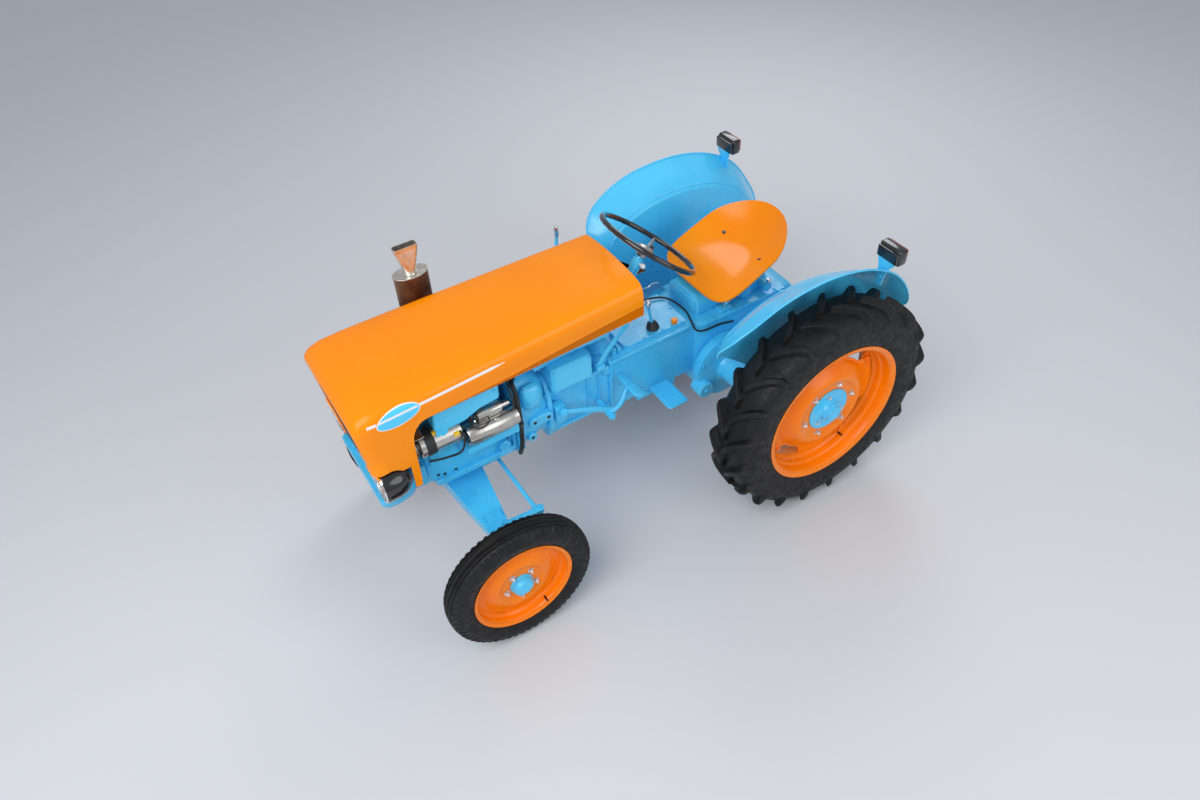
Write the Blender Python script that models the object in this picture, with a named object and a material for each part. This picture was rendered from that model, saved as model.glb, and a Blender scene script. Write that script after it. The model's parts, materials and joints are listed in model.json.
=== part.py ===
"""Small vintage two-wheel-drive tractor: +Z up, front towards -Y, driver's left towards +X.

Places are given from the rear axle's line on the ground (x 0, y 0, z 0), and one empty then
moves everything back so that the origin is the middle of the footprint.
"""
import math

import bmesh
import bpy
import numpy as np
from mathutils import Matrix, Vector

# ---- driving dimensions, metres ------------------------------------------------------------
WHEELBASE = 1.405
NOSE_AHEAD = 1.790            # nose lip ahead of the rear axle
GAP = 0.0003                  # between pieces that touch
RUN_GAP = 0.006               # between pieces that move past each other
HUB_GAP = 0.0005              # at hubs, pins and hinge lugs

REAR_TYRE_RADIUS = 0.506
REAR_TYRE_HALF_WIDTH = 0.106
REAR_TRACK_HALF = 0.546
REAR_BEAD_RADIUS = 0.306
REAR_BEAD_HALF = 0.092
REAR_FLANGE_RADIUS = 0.328

FRONT_TYRE_RADIUS = 0.300
FRONT_TYRE_HALF_WIDTH = 0.056
FRONT_TRACK_HALF = 0.494
FRONT_BEAD_RADIUS = 0.191
FRONT_BEAD_HALF = 0.041
FRONT_FLANGE_RADIUS = 0.207

FLANGE_WALL = 0.006

KINGPIN_X = 0.400
KINGPIN_RADIUS = 0.018
KINGPIN_SIDES = 32            # fine enough to turn in its bore without touching
BEAM_TOP_Z = 0.500
BEAM_DEPTH = 0.055
STEER_ARM_LENGTH = 0.165
TIE_Z = 0.470
TIE_RADIUS = 0.011
STEERING_WHEEL_RADIUS = 0.204
STEERING_RIM_RADIUS = 0.011
STEERING_CENTRE = (0.0, -0.476, 1.167)
STEERING_TILT = math.radians(39.0)

ENGINE_HALF = 0.140
ENGINE_FRONT_Y = -1.560
ENGINE_REAR_Y = -1.190
SUMP_Z = 0.560
CRANKCASE_TOP_Z = 0.800
CYLINDER_HALF = 0.115
CYLINDER_TOP_Z = 1.020

BELL_REAR_Y = -1.020
BELL_HALF = 0.172
BELL_BOTTOM_Z = 0.565
BELL_TOP_Z = 0.925
BELL_FLANGE = 0.012

GEARBOX_HALF = 0.120
GEARBOX_TOP_Z = 0.790
GEARBOX_BOTTOM_Z = 0.520
GEARBOX_REAR_Y = -0.330
REAR_HOUSING_HALF = 0.150
REAR_HOUSING_REAR_Y = 0.170
REAR_HOUSING_BOTTOM_Z = 0.370

CASING_CENTRE = (-0.214, 0.565)   # y, z of the brake casing
CASING_RADIUS = 0.155
CASING_OUTER_X = 0.215
CASING_STUB_RADIUS = 0.056
CASING_STUB_X = 0.330
TRUMPET_RADIUS = 0.075
TRUMPET_OUTER_X = 0.375

HOOD_REAR_Y = -0.640
HOOD_WALL = 0.006
HOOD_PIVOT_Y = -1.722
HOOD_PIVOT_Z = 0.718
HINGE_PIN_RADIUS = 0.006
HINGE_EAR_OUT = 0.111
NOSE_REAR_Y = -1.600
NOSE_BOTTOM_Z = 0.742
NOSE_LIP_Z = 1.100
NOSE_RAKE = 0.14              # front face set back for each metre below the lip
GRILLE_HALF = 0.165
GRILLE_LOW_Z = 0.868
GRILLE_HIGH_Z = 1.070
LAMP_X = 0.205
LAMP_Z = 0.792
LAMP_RADIUS = 0.074
LAMP_FRONT_Y = -1.745
LAMP_REAR_Y = -1.625

FENDER_WALL_X = 0.385
FENDER_THICK = 0.005
FENDER_FOOT_RADIUS = 0.150
TAIL_LAMP = (0.508, 0.285, 1.100)
TAIL_LAMP_SIZE = (0.110, 0.055, 0.070)

SEAT_PLACE = (0.0, -0.060, 0.950)
SEAT_HALF_WIDTH = 0.215
SEAT_LENGTH = 0.430
SEAT_THICK = 0.006

EXHAUST_CENTRE = (-0.312, -1.318)
EXHAUST_BOTTOM_Z = 0.960
EXHAUST_TOP_Z = 1.205
EXHAUST_HALF_X = 0.044
EXHAUST_HALF_Y = 0.070
OUTLET_TOP_Z = 1.318

LOOM_RADIUS = 0.009

REAR_AXLE_Y = (NOSE_AHEAD - REAR_TYRE_RADIUS) / 2
FRONT_AXLE_Y = -WHEELBASE

# ---- colours: base, roughness, metallic ----------------------------------------------------
PAINTS = {
    "orange": ((0.95, 0.22, 0.006), 0.28, 0.0),
    "blue": ((0.045, 0.42, 0.80), 0.32, 0.0),
    "tyre": ((0.018, 0.018, 0.020), 0.78, 0.0),
    "black": ((0.010, 0.010, 0.012), 0.25, 0.0),
    "steel": ((0.55, 0.54, 0.52), 0.30, 1.0),
    "rust": ((0.16, 0.07, 0.035), 0.55, 0.7),
    "rubber": ((0.012, 0.012, 0.012), 0.6, 0.0),
}


def clear_scene():
    for obj in list(bpy.data.objects):
        bpy.data.objects.remove(obj, do_unlink=True)


def paint(obj, colour):
    base, roughness, metallic = PAINTS[colour]
    material = bpy.data.materials.new(obj.name + "_finish")
    material.use_nodes = True
    shader = material.node_tree.nodes["Principled BSDF"]
    shader.inputs["Base Color"].default_value = (*base, 1.0)
    shader.inputs["Roughness"].default_value = roughness
    shader.inputs["Metallic"].default_value = metallic
    obj.data.materials.append(material)


def add_empty(name, place, parent=None, rotation=(0, 0, 0)):
    empty = bpy.data.objects.new(name, None)
    bpy.context.collection.objects.link(empty)
    empty.parent = parent
    empty.location = place
    empty.rotation_euler = rotation
    return empty


# ---- solid makers: each returns a mesh object in its parent's own space ---------------------
def finish_mesh(name, bm, smooth=None):
    bmesh.ops.recalc_face_normals(bm, faces=bm.faces)
    mesh = bpy.data.meshes.new(name)
    bm.to_mesh(mesh)
    bm.free()
    if smooth:
        mesh.shade_smooth()
        mesh.set_sharp_from_angle(angle=math.radians(smooth))
    obj = bpy.data.objects.new(name, mesh)
    bpy.context.collection.objects.link(obj)
    return obj


def block(name, x, y, z, bevel=0.0):
    """A box between three pairs of limits, with its edges broken by bevel."""
    bm = bmesh.new()
    size = Vector((x[1] - x[0], y[1] - y[0], z[1] - z[0]))
    middle = Vector((x[0] + x[1], y[0] + y[1], z[0] + z[1])) / 2
    bmesh.ops.create_cube(bm, size=1.0, matrix=Matrix.Translation(middle) @ Matrix.Diagonal((*size, 1)))
    if bevel:
        bmesh.ops.bevel(bm, geom=bm.edges[:], offset=bevel, segments=1, affect="EDGES")
    return finish_mesh(name, bm)


def axis_turn(axis):
    """Rotation that carries a shape made along +Z onto the given axis."""
    return Vector((0, 0, 1)).rotation_difference(Vector(axis)).to_matrix().to_4x4()


def turned(name, profile, axis=(0, 0, 1), place=(0, 0, 0), sides=32):
    """A closed ring or solid: (along, radius) points spun about the axis through place."""
    bm = bmesh.new()
    verts = [bm.verts.new((radius, 0, along)) for along, radius in profile]
    edges = [bm.edges.new((verts[i], verts[(i + 1) % len(verts)])) for i in range(len(verts))]
    on_axis = [i for i, (along, radius) in enumerate(profile) if radius < 1e-6]
    if len(on_axis) == 2:
        axis_edge = [e for e in edges if all(v.co.x < 1e-6 for v in e.verts)]
        for edge in axis_edge:
            bm.edges.remove(edge)
            edges.remove(edge)
    bmesh.ops.spin(bm, geom=verts + edges, cent=(0, 0, 0), axis=(0, 0, 1), angle=math.tau, steps=sides,
                   use_duplicate=False)
    bmesh.ops.remove_doubles(bm, verts=bm.verts, dist=1e-6)
    bmesh.ops.transform(bm, matrix=Matrix.Translation(place) @ axis_turn(axis), verts=bm.verts)
    return finish_mesh(name, bm, smooth=35)


def rod(name, start, end, radius, sides=12):
    """A round bar between two points."""
    start, end = Vector(start), Vector(end)
    length = (end - start).length
    profile = ((0, 0), (0, radius), (length, radius), (length, 0))
    return turned(name, profile, axis=(end - start).normalized(), place=start, sides=sides)


def prism(name, outline, axis, low, high, bevel=0.0):
    """An outline of (u, v) points carried straight along X, Y or Z from low to high."""
    lift = {
        "X": lambda u, v, w: (w, u, v),
        "Y": lambda u, v, w: (u, w, v),
        "Z": lambda u, v, w: (u, v, w),
    }[axis]
    bm = bmesh.new()
    face = bm.faces.new([bm.verts.new(lift(u, v, low)) for u, v in outline])
    out = bmesh.ops.extrude_face_region(bm, geom=[face])
    moved = [g for g in out["geom"] if isinstance(g, bmesh.types.BMVert)]
    bmesh.ops.translate(bm, vec=lift(0, 0, high - low), verts=moved)
    if bevel:
        bmesh.ops.bevel(bm, geom=bm.edges[:], offset=bevel, segments=1, affect="EDGES")
    return finish_mesh(name, bm)


def loft(name, rings, smooth=None):
    """Rings of points, all of one length, bridged in order and closed by end caps."""
    bm = bmesh.new()
    loops = [[bm.verts.new(point) for point in ring] for ring in rings]
    for one, two in zip(loops, loops[1:]):
        for i in range(len(one)):
            j = (i + 1) % len(one)
            bm.faces.new((one[i], one[j], two[j], two[i]))
    bm.faces.new(loops[0])
    bm.faces.new(list(reversed(loops[-1])))
    return finish_mesh(name, bm, smooth)


def sheet_solid(name, grid, thickness, smooth=40):
    """A grid of points, rows by columns, given a wall by Solidify."""
    bm = bmesh.new()
    rows = [[bm.verts.new(point) for point in row] for row in grid]
    for one, two in zip(rows, rows[1:]):
        for i in range(len(one) - 1):
            bm.faces.new((one[i], one[i + 1], two[i + 1], two[i]))
    obj = finish_mesh(name, bm, smooth)
    wall = obj.modifiers.new("wall", "SOLIDIFY")
    wall.thickness = thickness
    wall.offset = 0.0
    wall.use_even_offset = True
    return obj


def apply_boolean(target, other, operation):
    cut = target.modifiers.new(operation.lower(), "BOOLEAN")
    cut.operation = operation
    cut.solver = "EXACT"
    cut.object = other
    other.hide_render = True
    other.display_type = "WIRE"
    other.parent = target


def fuse(target, *others):
    for other in others:
        apply_boolean(target, other, "UNION")
    return target


def cut(target, *others):
    for other in others:
        apply_boolean(target, other, "DIFFERENCE")
    return target


def place_part(obj, colour, parent):
    paint(obj, colour)
    obj.parent = parent
    return obj


def arc(centre, radius, start_deg, end_deg, steps):
    angles = np.radians(np.linspace(start_deg, end_deg, steps))
    return [(centre[0] + radius * math.cos(a), centre[1] + radius * math.sin(a)) for a in angles]


# ---- engine and driveline -------------------------------------------------------------------
def make_engine(frame):
    half = ENGINE_HALF
    flange = 0.018
    crankcase = block("engine_block", (-half, half), (ENGINE_FRONT_Y, ENGINE_REAR_Y - GAP),
                      (SUMP_Z + 0.03, CRANKCASE_TOP_Z), 0.012)
    sump = block("sump_body", (-half - flange, half + flange), (ENGINE_FRONT_Y + 0.03, ENGINE_REAR_Y - GAP),
                 (SUMP_Z, SUMP_Z + 0.045), 0.008)
    place_part(fuse(crankcase, sump), "blue", frame)

    low = CRANKCASE_TOP_Z + GAP
    shroud = block("cylinder_shroud", (-CYLINDER_HALF, CYLINDER_HALF), (ENGINE_FRONT_Y + 0.03,
                                                                        ENGINE_REAR_Y - 0.03),
                   (low, CYLINDER_TOP_Z), 0.015)
    cowl = prism("cowl_body", ((0.06, 0.90), (0.205, 0.955), (0.205, 1.005), (0.06, 1.005)), "Y",
                 ENGINE_FRONT_Y + 0.05, ENGINE_REAR_Y - 0.06)
    place_part(fuse(shroud, cowl), "blue", frame)

    starter_x, starter_z, starter_radius = 0.186, 0.812, 0.043
    starter = turned("starter_motor", ((0, 0), (0, 0.034), (0.012, starter_radius), (0.165, starter_radius),
                                       (0.175, 0.026), (0.205 - GAP, 0.026), (0.205 - GAP, 0)),
                     axis=(0, 1, 0), place=(starter_x, ENGINE_REAR_Y - 0.205, starter_z), sides=24)
    solenoid = rod("solenoid_body", (starter_x - 0.012, ENGINE_REAR_Y - 0.150, starter_z + 0.062),
                   (starter_x - 0.012, ENGINE_REAR_Y - 0.020, starter_z + 0.062), 0.024, 16)
    neck = block("solenoid_neck", (starter_x - 0.024, starter_x), (ENGINE_REAR_Y - 0.10,
                                                                   ENGINE_REAR_Y - 0.05),
                 (starter_z, starter_z + 0.060))
    place_part(fuse(starter, solenoid, neck), "steel", frame)

    dynamo_radius = 0.052
    dynamo_x = 0.168
    dynamo_z = 0.852
    dynamo = turned("dynamo", ((0, 0), (0, 0.040), (0.010, dynamo_radius), (0.150, dynamo_radius),
                               (0.162, 0.036), (0.162, 0)), axis=(0, 1, 0),
                    place=(dynamo_x, ENGINE_FRONT_Y - 0.015, dynamo_z), sides=24)
    cradle = block("dynamo_cradle", (dynamo_x - 0.050, ENGINE_HALF - 0.013), (ENGINE_FRONT_Y + 0.04,
                                                                              ENGINE_FRONT_Y + 0.09),
                   (CRANKCASE_TOP_Z + GAP, dynamo_z))
    place_part(fuse(dynamo, cradle), "steel", frame)


def bell_outline(grow=0.0):
    half = BELL_HALF + grow
    low = BELL_BOTTOM_Z - grow
    high = BELL_TOP_Z + grow
    middle = (low + high) / 2
    upper = arc((0, high - half), half, 0, 180, 13)
    lower = [(-half * 0.96, middle - 0.06), (-half * 0.72, low), (half * 0.72, low), (half * 0.96,
                                                                                      middle - 0.06)]
    return upper + lower


def make_driveline(frame):
    bell = prism("bell_housing", bell_outline(), "Y", ENGINE_REAR_Y, BELL_REAR_Y)
    front_rim = prism("bell_flange", bell_outline(BELL_FLANGE), "Y", ENGINE_REAR_Y, ENGINE_REAR_Y + 0.020)
    place_part(fuse(bell, front_rim), "blue", frame)

    half = GEARBOX_HALF
    low, high = GEARBOX_BOTTOM_Z, GEARBOX_TOP_Z
    outline = ((-half, high), (-half, low + 0.02), (-half * 0.8, low), (half * 0.8, low), (half,
                                                                                           low + 0.02),
               (half, high))
    gearbox = prism("gearbox_housing", outline, "Y", BELL_REAR_Y + GAP, GEARBOX_REAR_Y - GAP)
    lid = block("gearbox_lid", (-half + 0.014, half - 0.014), (GEARBOX_REAR_Y - 0.33,
                                                               GEARBOX_REAR_Y - 0.02),
                (high - 0.01, high + 0.012), 0.003)
    place_part(fuse(gearbox, lid), "blue", frame)

    half = REAR_HOUSING_HALF
    low, high = REAR_HOUSING_BOTTOM_Z, GEARBOX_TOP_Z
    rear = prism("rear_housing", ((GEARBOX_REAR_Y, high), (GEARBOX_REAR_Y, GEARBOX_BOTTOM_Z),
                                  (GEARBOX_REAR_Y + 0.12, low), (REAR_HOUSING_REAR_Y - 0.05, low),
                                  (REAR_HOUSING_REAR_Y, low + 0.05), (REAR_HOUSING_REAR_Y, high - 0.06),
                                  (REAR_HOUSING_REAR_Y - 0.06, high)), "X", -half, half)
    place_part(rear, "blue", frame)

    lift = block("lift_housing", (-0.105, 0.095), (-0.300, 0.060), (GEARBOX_TOP_Z + GAP, 0.872), 0.012)
    place_part(lift, "blue", frame)

    for side, name in ((1, "left"), (-1, "right")):
        y, z = CASING_CENTRE
        inner = REAR_HOUSING_HALF + GAP
        drum = rod("axle_casing_" + name, (side * inner, y, z), (side * CASING_OUTER_X, y, z),
                   CASING_RADIUS, 32)
        stub = rod("casing_stub", (side * (inner + 0.01), y, z), (side * CASING_STUB_X, y, z),
                   CASING_STUB_RADIUS, 20)
        trumpet = rod("casing_trumpet", (side * inner, 0, REAR_TYRE_RADIUS),
                      (side * TRUMPET_OUTER_X, 0, REAR_TYRE_RADIUS), TRUMPET_RADIUS, 24)
        web = block("casing_web", sorted((side * inner, side * (CASING_OUTER_X - 0.015))), (y, 0.02),
                    (REAR_TYRE_RADIUS - 0.055, REAR_TYRE_RADIUS + 0.09))
        place_part(fuse(drum, stub, trumpet, web), "blue", frame)


# ---- steering and front axle ----------------------------------------------------------------
def make_front_axle(frame):
    low, high = BEAM_TOP_Z - BEAM_DEPTH, BEAM_TOP_Z
    end = KINGPIN_X
    front, rear_in, rear_out = FRONT_AXLE_Y - 0.075, FRONT_AXLE_Y + 0.095, FRONT_AXLE_Y + 0.030
    nose = end - 0.048
    outline = [(-end, front + 0.045), (-nose, front), (nose, front), (end, front + 0.045),
               (end, rear_out), (0.12, rear_in), (-0.12, rear_in), (-end, rear_out)]
    beam = prism("front_axle_beam", outline, "Z", low, high - 0.001)
    pivot = block("beam_pivot", (-0.045, 0.045), (front + 0.02, rear_in - 0.02), (low, SUMP_Z - GAP), 0.006)
    fuse(beam, pivot)
    for side in (1, -1):
        boss = rod("beam_boss", (side * KINGPIN_X, FRONT_AXLE_Y, low - 0.02), (side * KINGPIN_X,
                                                                               FRONT_AXLE_Y, high),
                   KINGPIN_RADIUS + 0.014, 16)
        fuse(beam, boss)
        bore = rod("beam_bore", (side * KINGPIN_X, FRONT_AXLE_Y, low - 0.05),
                   (side * KINGPIN_X, FRONT_AXLE_Y, high + 0.05), KINGPIN_RADIUS + GAP, KINGPIN_SIDES)
        cut(beam, bore)
    place_part(beam, "blue", frame)

    support = block("front_support", (-0.205, 0.205), (-1.760, ENGINE_FRONT_Y - 0.02), (0.600, 0.690),
                    0.010)
    tongue = block("support_tongue", (-0.110, 0.110), (ENGINE_FRONT_Y - 0.06, ENGINE_FRONT_Y - GAP),
                   (0.600, 0.700), 0.006)
    fuse(support, tongue)
    for side in (1, -1):
        face = HINGE_EAR_OUT - HUB_GAP
        ear = block("hinge_ear", sorted((side * (face - 0.012), side * face)), (HOOD_PIVOT_Y - 0.014,
                                                                                HOOD_PIVOT_Y + 0.014),
                    (0.680, HOOD_PIVOT_Z + 0.014))
        pin = rod("hinge_pin", (side * (face - 0.006), HOOD_PIVOT_Y, HOOD_PIVOT_Z),
                  (side * (face + 0.014), HOOD_PIVOT_Y, HOOD_PIVOT_Z), HINGE_PIN_RADIUS, 12)
        fuse(support, ear, pin)
    place_part(support, "blue", frame)


def tyre_profile(radius, half, bead_half, bead_radius, flange_radius):
    depth = radius - bead_radius
    outer = [
        (bead_half, bead_radius),
        (bead_half, flange_radius + 0.004),
        (half, bead_radius + depth * 0.45),
        (half * 0.90, bead_radius + depth * 0.85),
        (half * 0.55, radius),
    ]
    return outer + [(-along, r) for along, r in reversed(outer)]


def wheel(frame_parent, label, side, size):
    """Tyre and rim of one wheel on an empty at the hub, the wheel's outside towards side."""
    radius, half, bead_half, bead_radius, flange_radius = size["tyre"]
    tyre = turned(label[0], tyre_profile(radius, half, bead_half, bead_radius, flange_radius), axis=(1,
                                                                                                     0, 0),
                  sides=size["sides"])
    place_part(tyre, "tyre", frame_parent)
    seat = bead_radius - GAP
    edge = bead_half + GAP
    inner = seat - size["well"]
    far = edge + FLANGE_WALL
    disc, root = size["disc_x"], size["disc_root_x"]
    outside = [(size["cap_x"], 0), (size["cap_x"], size["cap_radius"]), (disc, size["cap_radius"] + 0.006),
               (disc, size["hub_radius"]), (root + 0.006, inner), (far, inner), (far, flange_radius),
               (edge, flange_radius), (edge, seat)]
    inside = [(-edge, seat), (-edge, flange_radius), (-far, flange_radius), (-far, inner),
              (root - 0.006, inner),
              (disc - 0.012, size["hub_radius"]), (disc - 0.012, size["hub_drum"]),
              (size["hub_inner_x"], size["hub_drum"]), (size["hub_inner_x"], 0)]
    profile = [(side * along, r) for along, r in outside + inside]
    rim = turned(label[1], profile, axis=(1, 0, 0), sides=size["sides"])
    place_part(rim, "orange", frame_parent)


REAR_WHEEL = {
    "tyre": (REAR_TYRE_RADIUS, REAR_TYRE_HALF_WIDTH, REAR_BEAD_HALF, REAR_BEAD_RADIUS, REAR_FLANGE_RADIUS),
    "sides": 36, "well": 0.014, "disc_x": 0.054, "disc_root_x": 0.020, "hub_radius": 0.150,
    "cap_x": 0.096, "cap_radius": 0.030, "hub_drum": 0.060,
    "hub_inner_x": TRUMPET_OUTER_X + HUB_GAP - REAR_TRACK_HALF,
}
FRONT_WHEEL = {
    "tyre": (FRONT_TYRE_RADIUS, FRONT_TYRE_HALF_WIDTH, FRONT_BEAD_HALF, FRONT_BEAD_RADIUS,
             FRONT_FLANGE_RADIUS),
    "sides": 28, "well": 0.010, "disc_x": 0.020, "disc_root_x": 0.004, "hub_radius": 0.075,
    "cap_x": 0.052, "cap_radius": 0.020, "hub_drum": 0.036, "hub_inner_x": -0.045,
}


def make_rear_wheels(frame):
    for side, name in ((1, "left"), (-1, "right")):
        axis = add_empty("rear_axle_" + name, (side * REAR_TRACK_HALF, 0, REAR_TYRE_RADIUS), frame)
        wheel(axis, ("rear_tyre_" + name, "rear_rim_" + name), side, REAR_WHEEL)


def make_front_wheels(frame):
    for side, name in ((1, "left"), (-1, "right")):
        kingpin = add_empty("kingpin_" + name, (side * KINGPIN_X, FRONT_AXLE_Y, 0), frame)
        low, high = BEAM_TOP_Z - BEAM_DEPTH - 0.02, BEAM_TOP_Z
        knuckle = rod("knuckle_" + name, (0, 0, FRONT_TYRE_RADIUS - 0.024), (0, 0, low - RUN_GAP),
                      KINGPIN_RADIUS + 0.008, 16)
        pin = rod("knuckle_pin", (0, 0, low - 0.02), (0, 0, high + 0.020), KINGPIN_RADIUS, KINGPIN_SIDES)
        reach = FRONT_TRACK_HALF - KINGPIN_X + FRONT_WHEEL["hub_inner_x"] - HUB_GAP
        spindle = rod("knuckle_spindle", (0, 0, FRONT_TYRE_RADIUS), (side * reach, 0,
                                                                     FRONT_TYRE_RADIUS), 0.020, 16)
        arm = prism("knuckle_arm", ((-0.014, 0.0), (0.014, 0.0), (0.012, STEER_ARM_LENGTH + 0.012),
                                    (-0.012, STEER_ARM_LENGTH + 0.012)), "Z", high + RUN_GAP, high + 0.020)
        fuse(knuckle, pin, spindle, arm)
        place_part(knuckle, "blue", kingpin)
        hub = add_empty("front_hub_" + name, (side * (FRONT_TRACK_HALF - KINGPIN_X), 0,
                                              FRONT_TYRE_RADIUS), kingpin)
        wheel(hub, ("front_tyre_" + name, "front_rim_" + name), side, FRONT_WHEEL)


def make_steering(frame):
    centre = add_empty("centre_arm_pivot", (0, FRONT_AXLE_Y, 0), frame)
    low = BEAM_TOP_Z - BEAM_DEPTH
    arm_low, arm_high = low - 0.024, low - RUN_GAP
    boss = rod("centre_arm", (0, 0, arm_low), (0, 0, low - GAP), 0.024, 16)
    bar = block("centre_bar", (-0.016, 0.016), (0, STEER_ARM_LENGTH + 0.014), (arm_low, arm_high))
    post = rod("centre_post", (0, STEER_ARM_LENGTH, arm_low), (0, STEER_ARM_LENGTH, TIE_Z + 0.020),
               0.008, 12)
    place_part(fuse(boss, bar, post), "blue", centre)

    pin_y = FRONT_AXLE_Y + STEER_ARM_LENGTH
    for side, name, lift in ((1, "left", -0.0075), (-1, "right", 0.0075)):
        pin = add_empty("tie_pin_" + name, (0, pin_y, TIE_Z), frame)
        eye = turned("tie_rod_" + name, ((-0.006, 0.0083), (0.006, 0.0083), (0.006, 0.018), (-0.006,
                                                                                             0.018)),
                     place=(0, 0, lift), sides=16)
        bar = rod("tie_bar", (side * 0.014, 0, lift), (side * (KINGPIN_X + 0.004), 0, lift), 0.006, 12)
        tube = rod("tie_tube", (side * 0.045, 0, 0), (side * (KINGPIN_X + 0.004), 0, 0), TIE_RADIUS, 12)
        end = rod("tie_end", (side * KINGPIN_X, 0, -0.012), (side * KINGPIN_X, 0,
                                                             BEAM_TOP_Z + RUN_GAP - GAP - TIE_Z),
                  0.011, 12)
        place_part(fuse(eye, bar, tube, end), "blue", pin)

    along = Vector((0, math.sin(STEERING_TILT), math.cos(STEERING_TILT)))
    foot = Vector(STEERING_CENTRE) - along * 0.46
    column = rod("steering_column", foot, Vector(STEERING_CENTRE) - along * (0.055 + GAP), 0.019, 16)
    box = block("steering_box", (-0.055, 0.055), (foot.y - 0.070, foot.y + 0.085), (GEARBOX_TOP_Z + GAP,
                                                                                    foot.z + 0.055),
                0.010)
    place_part(fuse(column, box), "blue", frame)

    axis = add_empty("steering_axis", STEERING_CENTRE, frame, rotation=(-STEERING_TILT, 0, 0))
    ring = bmesh.new()
    bmesh.ops.create_circle(ring, segments=6, radius=STEERING_RIM_RADIUS,
                            matrix=Matrix.Translation((STEERING_WHEEL_RADIUS, 0,
                                                       0)) @ Matrix.Rotation(math.pi / 2, 4, "X"))
    bmesh.ops.spin(ring, geom=ring.verts[:] + ring.edges[:], cent=(0, 0, 0), axis=(0, 0, 1),
                   angle=math.tau, steps=28)
    bmesh.ops.remove_doubles(ring, verts=ring.verts, dist=1e-6)
    rim = finish_mesh("steering_wheel", ring, smooth=60)
    hub = rod("wheel_hub", (0, 0, -0.055), (0, 0, 0.004), 0.028, 16)
    fuse(rim, hub)
    for turn in (90, 210, 330):
        angle = math.radians(turn)
        spoke = rod("wheel_spoke", (0, 0, -0.018),
                    (STEERING_WHEEL_RADIUS * math.cos(angle), STEERING_WHEEL_RADIUS * math.sin(angle),
                     0), 0.006, 8)
        fuse(rim, spoke)
    place_part(rim, "black", axis)


# ---- hood -----------------------------------------------------------------------------------
# station y, half width, crown z, bottom z
HOOD_STATIONS = (
    (HOOD_REAR_Y, 0.212, 1.187, 1.083),
    (-0.900, 0.224, 1.179, 1.070),
    (-1.200, 0.236, 1.170, 1.050),
    (-1.500, 0.245, 1.161, 1.040),
    (-1.700, 0.248, 1.154, 1.036),
    (-1.760, 0.246, 1.136, 1.036),
    (-1.790, 0.232, 1.100, 1.036),
)
# share of half width, share of the height above the section's base
HOOD_SECTION = ((1.0, 0.0), (1.0, 0.45), (0.985, 0.68), (0.93, 0.85), (0.82, 0.935), (0.45, 0.985),
                (0.0, 1.0))
NOSE_SQUARE_Z = 1.036
RAKE_FROM_Y = -1.750


def hood_ring(y, half, crown, low, inset):
    side = []
    for share, rise in HOOD_SECTION:
        side.append(((half - inset) * share, y, NOSE_SQUARE_Z + (crown - inset - NOSE_SQUARE_Z) * rise))
    ring = [(half - inset, y, low)] + side[1:]
    mirrored = [(-x, y, z) for x, y, z in reversed(ring[:-1])]
    return ring + mirrored


def rake_back(z):
    """How far the front face stands behind its lip at a height."""
    return NOSE_RAKE * max(NOSE_LIP_Z - z, 0.0)


def rake_ring(ring, inset):
    return [(x, y + inset + rake_back(z), z) for x, y, z in ring]


def hood_solid(name, inset, drop):
    rings = []
    for y, half, crown, low in HOOD_STATIONS:
        y_in = y + drop if y == HOOD_REAR_Y else y
        ring = hood_ring(y_in, half, crown, low - drop, inset)
        rings.append(rake_ring(ring, inset) if y < RAKE_FROM_Y else ring)
    return loft(name, rings, 35)


def nose_solid(name, inset, drop):
    half, crown = HOOD_STATIONS[-3][1:3]
    rings = [hood_ring(NOSE_REAR_Y + drop, half, crown, NOSE_BOTTOM_Z - drop, inset)]
    for y, half, crown, low in HOOD_STATIONS[-3:]:
        ring = hood_ring(y, half, crown, NOSE_BOTTOM_Z - drop, inset)
        rings.append(rake_ring(ring, inset) if y < RAKE_FROM_Y else ring)
    return loft(name, rings, 35)


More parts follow.
